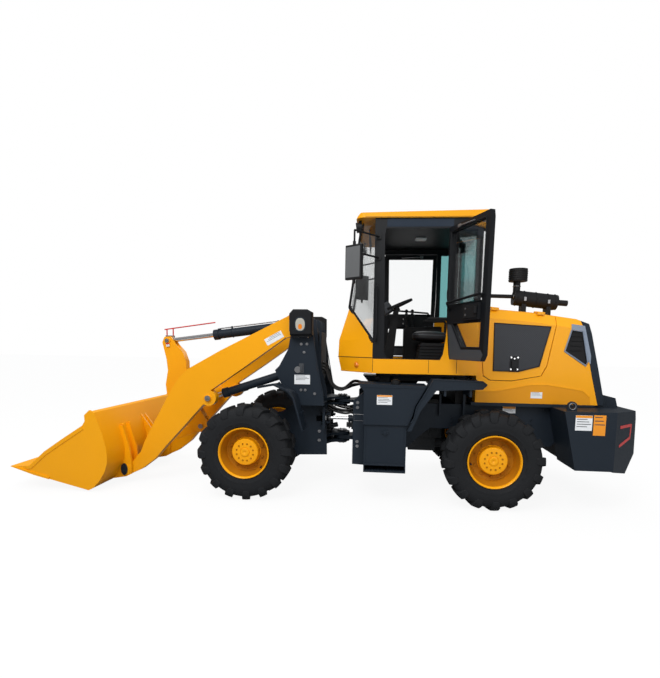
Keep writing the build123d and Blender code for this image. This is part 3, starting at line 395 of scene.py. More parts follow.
seams.append(rod((2.490, -0.82, 0.832), (2.490, 0.82, 0.832), 0.005, 10))
add("bucket_top_bead", seams, yellow, "bucket")

# Boom
# Pin retainers with bolts, a bead where the cross tube meets the arms and one blank label
def disc(place, way, radius, thick, sides=32):
    place, way = Vector(place), Vector(way).normalized()
    return rod(place, place + way * thick, radius, sides)


def ring(place, way, radius, thick, steps=48):
    place, way = Vector(place), Vector(way).normalized()
    side = way.orthogonal().normalized()
    path = [place + (side * cos(2 * pi * i / steps) + way.cross(side) * sin(2 * pi * i / steps)) * radius
            for i in range(steps)]
    return pipe(path, thick, 8, loop=True)


def pipe(path, radius, sides=10, loop=False):
    path = [Vector(p) for p in path]
    n = len(path)
    verts, faces = [], []
    lead = None
    for i, point in enumerate(path):
        before = path[i - 1] if (i or loop) else point
        after = path[(i + 1) % n] if (i < n - 1 or loop) else point
        way = (after - before).normalized()
        if lead is None:
            lead = way.orthogonal().normalized()
        lead = (lead - way * lead.dot(way)).normalized()
        other = way.cross(lead)
        for k in range(sides):
            a = 2 * pi * k / sides
            verts.append(point + lead * (radius * cos(a)) + other * (radius * sin(a)))
    for i in range(n if loop else n - 1):
        j = (i + 1) % n
        for k in range(sides):
            m = (k + 1) % sides
            faces.append([i * sides + k, i * sides + m, j * sides + m, j * sides + k])
    if not loop:
        faces += [list(range(sides))[::-1], list(range((n - 1) * sides, n * sides))]
    return verts, faces


def curve(points, steps=10):
    """Smooth run through the points, as a list of places."""
    pts = [Vector(p) for p in points]
    pts = [pts[0] * 2 - pts[1]] + pts + [pts[-1] * 2 - pts[-2]]
    path = []
    for a, b, c, d in zip(pts, pts[1:], pts[2:], pts[3:]):
        for s in range(steps):
            t = s / steps
            path.append(0.5 * ((2 * b) + (c - a) * t + (2 * a - 5 * b + 4 * c - d) * t * t
                               + (3 * b - a - 3 * c + d) * t ** 3))
    return path + [pts[-2]]


def retainer(x, y, z, radius, turn=0.0):
    """Pin end with a keeper plate and two bolts, facing away from the centre line."""
    way = 1 if y > 0 else -1
    shapes = [disc((x, y, z), (0, way, 0), radius, 0.008)]
    along = Vector((cos(turn), 0, sin(turn)))
    centre = Vector((x, y + way * 0.008, z))
    for s in (-1, 1):
        shapes += bolt(centre + along * (s * radius * 0.55), (0, way, 0), 0.008)
    shapes.append(disc(centre, (0, way, 0), radius * 0.22, 0.010, 12))
    return shapes


pins = []
for side in (1, -1):
    pins += retainer(1.411, side * 0.518, 0.969, 0.030)
    pins += retainer(1.940, side * 0.101, 0.960, 0.030)
add("boom_pin_ends", pins, steel, "boom")
beads = []
for side in (1, -1):
    beads.append(ring((1.640, side * 0.398, 0.930), (0, 1, 0), 0.088, 0.005))
add("boom_beads", beads, yellow, "boom")


def label(name, centre, across, upward, body, base, band=None, share=0.25, lines=5, ink=None):
    """Blank label: a thin base, a coloured band along its top and a few rules."""
    centre, across, upward = Vector(centre), Vector(across), Vector(upward)
    out = across.cross(upward).normalized() * 0.0007
    if abs(out.y) > 1e-6 and out.y * centre.y < 0:
        out = -out

    def panel(u0, u1, v0, v1, lift):
        flat = [centre + across * u + upward * v for u, v in ((u0, v0), (u1, v0), (u1, v1), (u0, v1))]
        verts = [p + out * (lift - 1) for p in flat] + [p + out * lift for p in flat]
        return verts, [[0, 1, 2, 3], [4, 5, 6, 7], [0, 1, 5, 4], [1, 2, 6, 5], [2, 3, 7, 6], [3, 0, 4, 7]]
    add(name, [panel(-0.5, 0.5, -0.5, 0.5, 1)], base, body, smooth=0)
    if band:
        add(f"{name}_band", [panel(-0.49, 0.49, 0.49 - share, 0.49, 1.6)], band, body, smooth=0)
    if lines:
        rules = []
        for i in range(lines):
            v = 0.40 - (share if band else 0) - i * (0.80 - share) / lines
            rules.append(panel(-0.42, 0.20 + 0.22 * ((i * 7) % 3) / 2, v - 0.022, v + 0.022, 1.6))
        add(f"{name}_rules", rules, ink or grey_trim, body, smooth=0)


for side, tag in ((1, "left"), (-1, "right")):
    way = Vector((0.87, 0, -0.49))
    label(f"boom_label_{tag}", (0.690, side * 0.5005, 1.622), way * 0.20, Vector((0.49, 0, 0.87)) * 0.075,
          "boom", white, lines=3)

# Crank and link pins
# Keeper plates with bolts on the crank's forked ends and bright pin ends on the link
pins = []
for side in (1, -1):
    pins += retainer(2.071, side * 0.0642, 1.579, 0.024, 0.6)
    pins += retainer(1.682, side * 0.0642, 0.575, 0.028, 0.6)
add("crank_pin_ends", pins, steel, "bellcrank")
for side, tag in ((1, "left"), (-1, "right")):
    label(f"crank_label_{tag}", (2.064, side * 0.0648, 1.530), (-0.040 * side, 0, 0.006), (0.004, 0, 0.040), "bellcrank",
          white, band=red, share=0.35, lines=2)

# Cylinders
# Gland rings with bolts on every barrel, and port blocks and a steel pipe clamped along the top of the tilt barrel
def along(base, end, share, y, rise=0.0):
    bx, bz, ex, ez = base[0], base[1], end[0], end[1]
    length = hypot(ex - bx, ez - bz)
    ux, uz = (ex - bx) / length, (ez - bz) / length
    return Vector((bx + ux * share - uz * rise, y, bz + uz * share + ux * rise))


def dress_barrel(name, base, end, y, radius, length, body, piped=True):
    tip = along(base, end, length, y)
    way = (along(base, end, length + 1, y) - tip).normalized()
    shapes = [ring(tip - way * 0.004, way, radius + 0.003, 0.006), ring(tip - way * 0.058, way, radius + 0.007, 0.003)]
    for i in range(6):
        a = 2 * pi * i / 6
        spot = tip + Vector((0, cos(a), 0)) * (radius - 0.004) + way.cross(Vector((0, 1, 0))) * (sin(a) * (radius - 0.004))
        shapes += bolt(spot, way, 0.005)
    add(f"{name}_gland", shapes, slate, body)
    if not piped:
        return
    pipework = [pipe(curve([along(base, end, 0.115, y, radius), along(base, end, 0.12, y, radius + 0.012),
                            along(base, end, 0.16, y, radius + 0.014), along(base, end, length - 0.12, y, radius + 0.014),
                            along(base, end, length - 0.08, y, radius + 0.010),
                            along(base, end, length - 0.075, y, radius - 0.002)], 6), 0.007, 8)]
    add(f"{name}_pipe", pipework, steel, body)
    clamps = []
    for share in (0.30, length - 0.22):
        clamps.append(ring(along(base, end, share, y), way, radius + 0.002, 0.004))
        clamps.append(rod(along(base, end, share, y, radius - 0.004), along(base, end, share, y, radius + 0.024), 0.011, 12))
    for share in (0.115, length - 0.075):
        clamps.append(rod(along(base, end, share, y, radius - 0.008), along(base, end, share, y, radius + 0.012), 0.015, 6))
    add(f"{name}_clamps", clamps, slate, body, bevel=0.001)


LIFT_BASE, LIFT_PIN = (0.430, 1.299), (1.411, 0.969)
TILT_BASE, TILT_PIN = (0.455, 1.800), (2.071, 1.579)
for tag, y in (("left", 0.335), ("right", -0.335)):
    dress_barrel(f"lift_barrel_{tag}", LIFT_BASE, LIFT_PIN, y, 0.045, 0.915, "lift_barrels", piped=False)
dress_barrel("tilt_barrel", TILT_BASE, TILT_PIN, 0.0, 0.052, 1.075, "tilt_barrel")

# Tower
# Blank plate, latch and bolts on the outer tower plates, pin keepers at the feet of the cylinders
tower = []
for side in (1, -1):
    for x, z in ((0.396, 1.565), (0.336, 1.566), (0.366, 1.480), (0.395, 1.086), (0.350, 1.086), (0.250, 1.050)):
        tower += bolt((x, side * 0.535, z), (0, side, 0), 0.010)
    tower += retainer(0.430, side * 0.5355, 1.299, 0.034, 1.2)
    for x, z in ((0.220, 0.620), (0.220, 0.520), (0.700, 0.620), (0.960, 0.620), (0.900, 0.640)):
        tower += bolt((x, side * 0.3555, z), (0, side, 0), 0.012)
add("tower_bolts", tower, steel, "front_chassis")
latch = [block(0.366, 0.418, 0.5352, 0.540, 1.262, 1.365), block(0.378, 0.406, 0.540, 0.552, 1.285, 1.345)]
add("tower_latch", both(latch), grey_trim, "front_chassis", bevel=0.003)
for side, tag in ((1, "left"), (-1, "right")):
    label(f"tower_label_{tag}", (0.383, side * 0.5357, 1.196), (-0.165 * side, 0, 0), (0, 0, 0.098), "front_chassis", white,
          lines=4)
add("tower_edge", both([prism([(0.269 + 0.004, 1.655), (0.283, 1.655), (0.184, 1.095), (0.171, 1.095)], 0.5352, 0.541)]),
    slate, "front_chassis", bevel=0.002)

# Headlamps
# Clear lens in a bright bowl on the outer side, amber turn lamp ahead of it, bolted bracket below
recess = [(0.394, 1.692), (0.504, 1.692), (0.504, 1.846), (0.394, 1.846)]
add("headlamp_backs", both([prism(recess, 0.612, 0.6278)]), black, "front_chassis", bevel=0.003)
ovals = [[(0.392 + w * abs(cos(a)) ** 0.8 * (1 if cos(a) > 0 else -1), 1.762 + h * abs(sin(a)) ** 0.8 * (1 if sin(a) > 0 else -1))
          for a in [2 * pi * i / 40 for i in range(40)]] for w, h in ((0.060, 0.076), (0.048, 0.063), (0.020, 0.026))]
add("headlamp_lenses", both([prism(ovals[1], 0.630, 0.6365)]), lamp_clear, "front_chassis", bevel=0.003)
add("headlamp_inserts", both([prism([(x, z - 0.022) for x, z in ovals[2]], 0.6362, 0.6378)]), lamp_amber, "front_chassis")
add("headlamp_fronts", both([block(0.498, 0.5105, 0.556, 0.606, 1.690, 1.800)]), lamp_clear, "front_chassis", bevel=0.004)
add("turn_lamps", both([block(0.4985, 0.514, 0.556, 0.606, 1.812, 1.862)]), lamp_amber, "front_chassis", bevel=0.004)
add("headlamp_bowls", both([prism(ovals[0], 0.6275, 0.6325)]), slate, "front_chassis", bevel=0.002)
bracket_bolts = []
for x in (0.320, 0.420):
    bracket_bolts += bolt((x, 0.580, 1.640), (0, 0, -1), 0.008)
add("headlamp_bolts", both(bracket_bolts), steel, "front_chassis")

# Front fenders
# Rolled outer edge and bolted stays
fender_path = [(0.790, 1.128), (0.625, 1.160), (0.482, 1.097), (0.425, 1.029), (0.330, 0.700)]
edge = [pipe([(x, 0.799, z + 0.006) for x, z in fender_path], 0.007, 8)]
add("front_fender_edges", both(edge), slate, "front_chassis")
stays = []
for x, z in ((0.455, 1.072), (0.600, 1.158), (0.372, 0.860)):
    stays += bolt((x - 0.010, 0.60, z + 0.012), (-0.6, 0, 0.8), 0.009)
    stays += bolt((x - 0.010, 0.70, z + 0.012), (-0.6, 0, 0.8), 0.009)
add("front_fender_bolts", both(stays), slate, "front_chassis")

# Hoses
# Black hoses from the tower over the joint to below the cab, and from the tower to the tilt cylinder
def hose(name, points, radius, body_a, body_b=None):
    path = curve(points, 8)
    shapes = [pipe(path, radius, 10)]
    for a, b in ((path[0], path[1]), (path[-1], path[-2])):
        way = (b - a).normalized()
        shapes.append(rod(a - way * 0.002, a + way * 0.030, radius * 1.35, 6))
    made = add(name, shapes, hose_rubber, None)
    if body_b:
        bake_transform(made)
    else:
        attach(made, body_a)
    return made


for i, y in enumerate((0.06, 0.10, 0.14, -0.06, -0.10)):
    hose(f"joint_hose_{i}", [(0.226, y, 1.36 - i * 0.03), (0.190, y, 1.34 - i * 0.03), (0.110, y * 1.2, 1.13 - i * 0.01),
                             (0.000, y * 1.2, 1.06), (-0.12, y, 1.10 + i * 0.012), (-0.24, y, 1.13)], 0.011,
         "front_chassis", "rear_chassis")
for i, (y, z) in enumerate(((0.200, 0.860), (0.165, 0.845), (0.180, 0.820), (-0.190, 0.850), (-0.160, 0.830))):
    hose(f"low_hose_{i}", [(0.176, y, z + 0.03), (0.135, y, z + 0.035), (0.060, y * 1.05, z), (-0.060, y * 1.05, z - 0.02),
                           (-0.20, y, z + 0.01), (-0.33, y * 1.1, z - 0.03)], 0.012,
         "front_chassis", "rear_chassis")
for i, y in enumerate((0.075, -0.075)):
    hose(f"tilt_hose_{i}", [(0.262, y, 1.60 - 0.05 * i), (0.285, y, 1.66), (0.330, y, 1.76), (0.410, y * 0.9, 1.885),
                            (0.520, y * 0.55, 1.893), (0.585, y * 0.30, 1.845)], 0.010,
         "front_chassis", "tilt_barrel")
for side, tag in ((1, "left"), (-1, "right")):
    hose(f"lift_hose_{tag}", [(0.252, side * 0.215, 1.12), (0.300, side * 0.213, 1.16), (0.420, side * 0.212, 1.205),
                              (0.520, side * 0.27, 1.22), (0.560, side * 0.330, 1.222)], 0.010,
         "front_chassis", "lift_barrels")

# Articulation
# Bolted cap plates over the hinge pins and the drive shaft's crosses
caps = []
for z, way in ((0.987, 1), (0.878, -1), (0.577, 1), (0.443, -1)):
    caps.append(disc((0, 0, z), (0, 0, way), 0.056, 0.008))
    for i in range(6):
        a = 2 * pi * i / 6
        caps += bolt((0.040 * cos(a), 0.040 * sin(a), z + way * 0.008), (0, 0, way), 0.006)
add("hinge_caps", caps, steel, "front_chassis")
for body, spots in (("rear_chassis", ((-0.62, 0.640, 0.052), (-0.12, 0.640, 0.044), (-1.15, 0.480, 0.050))),
                    ("front_chassis", ((0.58, 0.505, 0.044), (0.12, 0.622, 0.044)))):
    yokes = []
    for x, z, r in spots:
        yokes += [block(x - 0.03, x + 0.03, -r * 1.25, -r * 0.7, z - 0.02, z + 0.02),
                  block(x - 0.03, x + 0.03, r * 0.7, r * 1.25, z - 0.02, z + 0.02),
                  rod((x, 0, z - r * 1.2), (x, 0, z + r * 1.2), 0.013, 12),
                  rod((x, -r * 1.3, z), (x, r * 1.3, z), 0.013, 12),
                  ring((x + 0.035, 0, z), (1, 0, 0), r * 0.9, 0.007)]
    add(f"shaft_yokes_{body}", yokes, cast, body, bevel=0.002)

# Axles
# Bolted covers on the housings, hub flanges, brake drums' bolts and U-bolts round the pads
for body, x0 in (("front_chassis", 0.900), ("rear_chassis", -1.530)):
    shapes = []
    for i in range(12):
        a = 2 * pi * i / 12
        for way in (1, -1):
            shapes += bolt((x0 + way * 0.060, 0.125 * cos(a), 0.480 + 0.125 * sin(a)), (way, 0, 0), 0.008)
    for side in (1, -1):
        for i in range(8):
            a = 2 * pi * i / 8
            shapes += bolt((x0 + 0.095 * cos(a), side * 0.519, 0.480 + 0.095 * sin(a)), (0, -side, 0), 0.008)
        for dx in (-0.060, 0.060):
            path = [(x0 + dx, side * 0.285, 0.565), (x0 + dx, side * 0.285, 0.420), (x0 + dx, side * 0.300, 0.396),
                    (x0 + dx, side * 0.390, 0.396), (x0 + dx, side * 0.405, 0.420), (x0 + dx, side * 0.405, 0.565)]
            shapes.append(pipe(curve(path, 4), 0.009, 8))
    add(f"axle_bolts_{body}", shapes, steel, body)

# Hood doors
# Perforated mesh in a black frame with a pull latch, set on the flat of each lifting door
mesh_look = finish("mesh_panel", (0.018, 0.022, 0.032), 0.5, coat=0.1)
nodes, links = mesh_look.node_tree.nodes, mesh_look.node_tree.links
spot = nodes.new("ShaderNodeTexCoord")
split = nodes.new("ShaderNodeSeparateXYZ")
links.new(spot.outputs["Object"], split.inputs["Vector"])
waves = []
for axis in ("X", "Z"):
    scale = nodes.new("ShaderNodeMath")
    scale.operation = "MULTIPLY"
    scale.inputs[1].default_value = 2 * pi / 0.018
    links.new(split.outputs[axis], scale.inputs[0])
    wave = nodes.new("ShaderNodeMath")
    wave.operation = "SINE"
    links.new(scale.outputs["Value"], wave.inputs[0])
    waves.append(wave)
product = nodes.new("ShaderNodeMath")
product.operation = "MULTIPLY"
links.new(waves[0].outputs["Value"], product.inputs[0])
links.new(waves[1].outputs["Value"], product.inputs[1])
holes = nodes.new("ShaderNodeMath")
holes.operation = "GREATER_THAN"
holes.inputs[1].default_value = 0.30
links.new(product.outputs["Value"], holes.inputs[0])
mesh_shader = nodes["Principled BSDF"]
old = mesh_shader.inputs["Base Color"].links[0].from_socket
darker = nodes.new("ShaderNodeMix")
darker.data_type = "RGBA"
darker.inputs["B"].default_value = (0.0015, 0.0015, 0.002, 1)
links.new(holes.outputs["Value"], darker.inputs["Factor"])
links.new(old, darker.inputs["A"])
links.new(darker.outputs["Result"], mesh_shader.inputs["Base Color"])
MESH = [(-1.546, 1.806), (-2.090, 1.776), (-1.998, 1.385), (-1.800, 1.330), (-1.556, 1.332)]
for side, tag in ((1, "left"), (-1, "right")):
    panel = [prism(MESH, side * 0.5602, side * 0.5645)]
    add(f"hood_mesh_{tag}", panel, mesh_look, f"hood_door_{tag}", bevel=0.0015)
    frame_path = [(x, side * 0.5645, z) for x, z in MESH]
    add(f"hood_mesh_frame_{tag}", [pipe(frame_path, 0.006, 8, loop=True)], black, f"hood_door_{tag}")
    latch = [block(-1.799, -1.713, side * 0.5645, side * 0.572, 1.340, 1.480),
             block(-1.782, -1.728, side * 0.572, side * 0.584, 1.365, 1.440)]
    corner_bolts = []
    for x, z in ((-1.788, 1.351), (-1.724, 1.351), (-1.788, 1.469), (-1.724, 1.469)):
        corner_bolts += bolt((x, side * 0.572, z), (0, side, 0), 0.0055)
    add(f"hood_latch_bolts_{tag}", corner_bolts, chrome, f"hood_door_{tag}")
    add(f"hood_latch_{tag}", latch, black, f"hood_door_{tag}", bevel=0.004, segments=2)
    add(f"hood_latch_key_{tag}", [disc((-1.755, side * 0.572, 1.458), (0, side, 0), 0.007, 0.004, 16)], chrome,
        f"hood_door_{tag}")

# Hood skirt
# Creased swoosh with painted shade below it, a blank label, the vent's pale surround, two seams on the top and the mesh
# behind the grille
swoosh = [(-1.400, 1.122), (-1.594, 1.130), (-1.921, 1.198), (-2.091, 1.202), (-2.432, 1.152), (-2.500, 1.090)]
# Below the crease the skirt gets a darker copy of the yellow paint: painted shade of the recessed skirt
shade = finish("skirt_painted_shade", (0.76, 0.30, 0.002), 0.42, coat=0.1, grain=60, bump=0.04, gloss=0.25)
skirt = [(x, z - 0.004) for x, z in swoosh] + [(-2.515, 1.016), (-1.400, 1.016)]
add("hood_skirt", both([prism(skirt, 0.5601, 0.5622)]), shade, "rear_chassis")
crease = [(x, z + 0.010) for x, z in swoosh] + [(x, z - 0.006) for x, z in swoosh[::-1]]
add("hood_crease", both([prism(crease, 0.5601, 0.5655)]), yellow, "rear_chassis", bevel=0.0025)
VENT = [(-2.290, 1.745), (-2.400, 1.735), (-2.462, 1.444), (-2.445, 1.400), (-2.235, 1.539)]
surround = [pipe([(x, 0.5605, z) for x, z in VENT], 0.009, 8, loop=True)]
add("vent_surround", both(surround), vent_blue, "rear_chassis")
band = [(-2.285, 1.806), (-2.412, 1.790), (-2.488, 1.500), (-2.490, 1.415), (-2.468, 1.440), (-2.406, 1.740), (-2.288, 1.751)]
add("vent_band", both([prism(band, 0.5601, 0.5618)]), vent_blue, "rear_chassis")
for side, tag in ((1, "left"), (-1, "right")):
    label(f"skirt_label_{tag}", (-1.990, side * 0.5630, 1.096), (-0.112 * side, 0, 0), (0, 0, 0.062), "rear_chassis", white,
          lines=3)
seam = [block(-1.3925, -1.3895, -0.45, 0.45, 1.9605, 1.9640), block(-1.915, -1.910, -0.44, 0.44, 1.9195, 1.9225)]
add("hood_seams", seam, black, "rear_chassis")
add("rear_mesh", [prism([(-2.440, 1.700), (-2.448, 1.700), (-2.585, 1.215), (-2.577, 1.215)], -0.425, 0.425)], mesh_look,
    "rear_chassis")

# Air cleaner
# Band clamps, end latches and ribs on the canister, louvres round the cap
bands = []
way = Vector((-0.44, 0, -0.048)).normalized()
for share in (0.03, 0.10, 0.22, 0.34, 0.415):
    bands.append(ring(Vector((-1.800, 0.250, 2.090)) + way * share, way, 0.0785, 0.005))
for z in (2.268, 2.290, 2.312, 2.334, 2.356):
    bands.append(ring((-1.840, 0.250, z), (0, 0, 1), 0.0915, 0.005))
add("air_cleaner_bands", bands, plastic, "rear_chassis")
clips = []
for share in (0.10, 0.34):
    spot = Vector((-1.800, 0.250, 2.090)) + way * share
    clips += [block(spot.x - 0.012, spot.x + 0.012, 0.326, 0.340, spot.z - 0.030, spot.z + 0.010)]
clips += [ring((-1.831, 0.250, 2.205), (0, 0, 1), 0.038, 0.004), ring((-1.800, 0.25, 2.1005), (1, 0, 0.02), 0.022, 0.004)]
add("air_cleaner_clips", clips, steel, "rear_chassis", bevel=0.002)

# Cab outside
# Window seals, belt line, nose trim, side lamp, wiper, mirror glass, roof lamps and rails
def loop_pipe(name, paths, radius, material, body):
    return add(name, [pipe(path, radius, 8, loop=True) for path in paths], material, body)


quarter = [(-1.148, 2.690), (-1.150, 1.920), (-1.330, 1.920), (-1.330, 2.690)]
loop_pipe("quarter_seals", [[(x, s * 0.6405, z) for x, z in quarter] for s in (1, -1)], 0.007, rubber, "rear_chassis")
back = [(-1.3855, y, z) for y, z in ((-0.54, 2.010), (0.54, 2.010), (0.54, 2.690), (-0.54, 2.690))]
loop_pipe("rear_window_seal", [back], 0.007, rubber, "rear_chassis")
nose_edge = [(-0.350, 0.636, 1.596), (-0.088, 0.332, 1.958), (-0.088, -0.332, 1.958), (-0.350, -0.636, 1.596)]
add("nose_trim", [pipe(nose_edge, 0.016, 10)], black, "rear_chassis")
header_paint = finish("header_paint", (0.018, 0.028, 0.045), 0.15, coat=0.5, gloss=0.6)
add("cab_headers", both([block(-1.100, -0.460, 0.6402, 0.6425, 2.716, 2.790)]), header_paint, "rear_chassis", bevel=0.001)
cab_seams = [block(x - 0.002, x + 0.002, 0.6398, 0.6408, 1.300, 1.436) for x in (-0.350, -0.905, -1.180)]
add("cab_seams", both(cab_seams), black, "rear_chassis")
belt = [(-0.345, 0.6405, 1.440), (0.0268, 0.3355, 1.440), (0.0268, -0.3355, 1.440), (-0.345, -0.6405, 1.440)]
add("nose_belt", [pipe(belt, 0.0032, 6)], black, "rear_chassis")
low_edge = [(-0.345, 0.637, 1.296), (-0.006, 0.322, 1.296), (-0.006, -0.322, 1.296), (-0.345, -0.637, 1.296)]
add("nose_lower_edge", [pipe(low_edge, 0.006, 8)], yellow, "rear_chassis")
out = Vector((0.68, 0.733, 0)).normalized()
lamp_spot = Vector((-0.183, 0.489, 1.362))
lamps = [rod(lamp_spot - out * 0.003, lamp_spot + out * 0.010, 0.034, 24),
         rod(lamp_spot + out * 0.010, lamp_spot + out * 0.020, 0.028, 24, 0.018)]
add("nose_side_lamps", both(lamps), lamp_amber, "rear_chassis", bevel=0.002)
wiper = [rod((-0.092, 0.06, 1.985), (-0.070, 0.06, 1.990), 0.016, 12),
         pipe([(-0.072, 0.06, 1.992), (-0.098, 0.14, 2.20), (-0.112, 0.20, 2.34)], 0.005, 6)]
add("wiper_arm", wiper, plastic, "rear_chassis")
add("wiper_blade", [pipe([(-0.096, 0.205, 2.10), (-0.116, 0.20, 2.34), (-0.139, 0.195, 2.52)], 0.006, 6)], rubber,
    "rear_chassis")
seal_low, seal_high = (-0.088, 0.330, 1.962), (-0.207, 0.408, 2.796)
posts = [[(seal_low[0] + 0.004, s * seal_low[1], seal_low[2]), (seal_high[0] + 0.004, s * seal_high[1], seal_high[2])]
         for s in (1, -1)]
add("screen_corner_seals", [pipe(path, 0.013, 8) for path in posts], black, "rear_chassis")
arms = [rod((-0.160, 0.905, 2.130), (-0.160, 0.905, 2.620), 0.009, 12)]
for z in (2.42, 2.62):
    arms.append(pipe(curve([(-0.385, 0.648, z), (-0.340, 0.700, z), (-0.210, 0.850, z), (-0.160, 0.905, z)], 5), 0.009, 10))
    arms.append(block(-0.405, -0.365, 0.640, 0.654, z - 0.022, z + 0.022))
mirror_arms = add("mirror_arms", both(arms), plastic, "rear_chassis")
heads = []
for width, depth, low, high, shift in ((0.190, 0.036, 2.170, 2.487, 0.0), (0.160, 0.012, 2.195, 2.462, 0.023)):
    half = width / 2
    corners = [(-half, low), (half, low), (half, high), (-half, high)]
    heads.append([(x, y + shift, z) for y in (-depth / 2, depth / 2) for x, z in corners])
glass_verts = [(x, y, z) for y in (-0.0205, -0.0183) for x, z in ((-0.083, 2.190), (0.083, 2.190), (0.083, 2.467), (-0.083, 2.467))]
turn = Matrix.Translation((-0.160, 0.905, 0)) @ Matrix.Rotation(radians(-36), 4, "Z") @ Matrix.Rotation(pi, 4, "Z")
box_faces = [[0, 1, 2, 3], [4, 7, 6, 5], [0, 4, 5, 1], [1, 5, 6, 2], [2, 6, 7, 3], [3, 7, 4, 0]]
mirror_heads = add("mirror_heads", both([([turn @ Vector(v) for v in verts], box_faces) for verts in heads]), plastic,
                   "rear_chassis", bevel=0.014, segments=3)
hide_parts("mirrors")
add("mirror_glass", both([([turn @ Vector(v) for v in glass_verts], box_faces)]), chrome, "rear_chassis")
clamp_rings = [rod((-0.160, 0.905, z - 0.018), (-0.160, 0.905, z + 0.018), 0.015, 12) for z in (2.155, 2.42, 2.50)]
add("mirror_clamps", both(clamp_rings), plastic, "rear_chassis")
way = Vector((0.055, 0, -0.008)).normalized()
face = Vector((-0.160, 0.540, 2.730))
glass = [disc(face, way, 0.042, 0.004)]
hoops = [ring(face + way * 0.002, way, 0.046, 0.005)]
add("work_lamp_lenses", both(glass), lamp_clear, "rear_chassis")
add("work_lamp_hoops", both(hoops), plastic, "rear_chassis")
fins = [block(-0.2235 + 0.006 * i, -0.2210 + 0.006 * i, 0.512, 0.568, 2.705, 2.771) for i in (-1, 0)]
add("work_lamp_fins", both(fins), plastic, "rear_chassis")
add("roof_drip", [pipe([(-0.245, s * 0.656, 2.806), (-1.43, s * 0.656, 2.806)], 0.005, 6) for s in (1, -1)], black,
    "rear_chassis")
rear_lamps = [rod((-1.395, s * 0.52, 2.745), (-1.440, s * 0.52, 2.740), 0.042, 20) for s in (1, -1)]
add("rear_work_lamps", rear_lamps, plastic, "rear_chassis", bevel=0.003)
add("rear_work_lenses", [disc((-1.440, s * 0.52, 2.740), (-1, 0, -0.1), 0.036, 0.004) for s in (1, -1)], lamp_clear,
    "rear_chassis")
rail = []
for s in (1, -1):
    rail.append(pipe(curve([(-0.375, s * 0.642, 1.62), (-0.375, s * 0.685, 1.66), (-0.375, s * 0.685, 2.10),
                            (-0.375, s * 0.642, 2.14)], 6), 0.011, 10))
add("grab_rails", rail, black, "rear_chassis")
cab_bolts = []
for s in (1, -1):
    for z in (1.64, 2.58):
        cab_bolts += bolt((-1.135, s * 0.6402, z), (0, s, 0), 0.006)
add("cab_bolts", cab_bolts, black, "rear_chassis")

# Cab doors
# Black frame with a yellow lower skin outside, seals round both panes, trim and lock inside, lever outside
def swing(point, side):
    x, y, z = point
    if side > 0:
        a = radians(112)
        hx, hy = -1.104, 0.652
        return (hx + (x - hx) * cos(a) - (y - hy) * sin(a), hy + (x - hx) * sin(a) + (y - hy) * cos(a), z)
    return (x, -y, z)


def door_piece(name, shapes, material, side, bevel=0.0, smooth=32):
    tag = "left" if side > 0 else "right"
    moved = [([swing(v, side) for v in verts], faces) for verts, faces in shapes]
    return add(f"{tag}_{name}", moved, material, f"{tag}_door", bevel=bevel, smooth=smooth)


SKIN_LOW = [(-0.475, 1.552), (-0.475, 1.500), (-0.506, 1.449), (-1.004, 1.449), (-1.027, 1.492), (-1.038, 1.552)]
SKIN_REAR = [(-1.038, 1.552), (-1.080, 1.790), (-0.994, 1.790), (-0.808, 1.552)]
UPPER = [(-0.500, 2.645), (-0.512, 1.960), (-1.052, 1.960), (-1.058, 2.645)]
LOWER = [(-0.512, 1.785), (-0.520, 1.560), (-0.800, 1.560), (-0.979, 1.785)]
for side in (1, -1):
    door_piece("door_skin", [prism(SKIN_LOW, 0.6402, 0.6445), prism(SKIN_REAR, 0.6402, 0.6445)], yellow, side, bevel=0.002)
    seals = []
    for pane in (UPPER, LOWER):
        for y in (0.6403, 0.5947):
            seals.append(pipe([(x, y, z) for x, z in pane], 0.007, 8, loop=True))
    door_piece("door_seals", seals, rubber, side)
    trim = [prism([(-0.470, 1.500), (-0.500, 1.445), (-0.990, 1.445), (-1.010, 1.480), (-1.060, 1.780), (-0.995, 1.770),
                   (-0.810, 1.540), (-0.505, 1.540)], 0.5905, 0.5946)]
    door_piece("door_trim", trim, grey_trim, side, bevel=0.003)
    lock = [block(-0.745, -0.535, 0.5545, 0.5598, 1.815, 1.930), block(-0.560, -0.530, 0.535, 0.556, 1.850, 1.910)]
    door_piece("door_lock_cover", lock, plastic, side, bevel=0.004)
    key = [disc((-0.700, 0.5545, 1.845), (0, -1, 0), 0.011, 0.004, 16), disc((-0.700, 0.5545, 1.900), (0, -1, 0), 0.009, 0.004, 16)]
    door_piece("door_lock_keys", key, steel, side)
    handle = [block(-0.560, -0.490, 0.6402, 0.650, 1.835, 1.905), block(-0.640, -0.500, 0.650, 0.663, 1.872, 1.894)]
    door_piece("door_handle", handle, plastic, side, bevel=0.004)
    strut = [rod((-0.90, 0.584, 2.665), (-0.66, 0.584, 2.655), 0.007, 10), block(-0.925, -0.885, 0.578, 0.5945, 2.652, 2.680)]
    door_piece("door_strut", strut, steel, side, bevel=0.001)
    sheet_metal = [prism([(-0.475, 2.660), (-0.480, 2.672), (-1.080, 2.672), (-1.080, 2.660)], 0.640, 0.648)]
    door_piece("door_drip", sheet_metal, black, side)

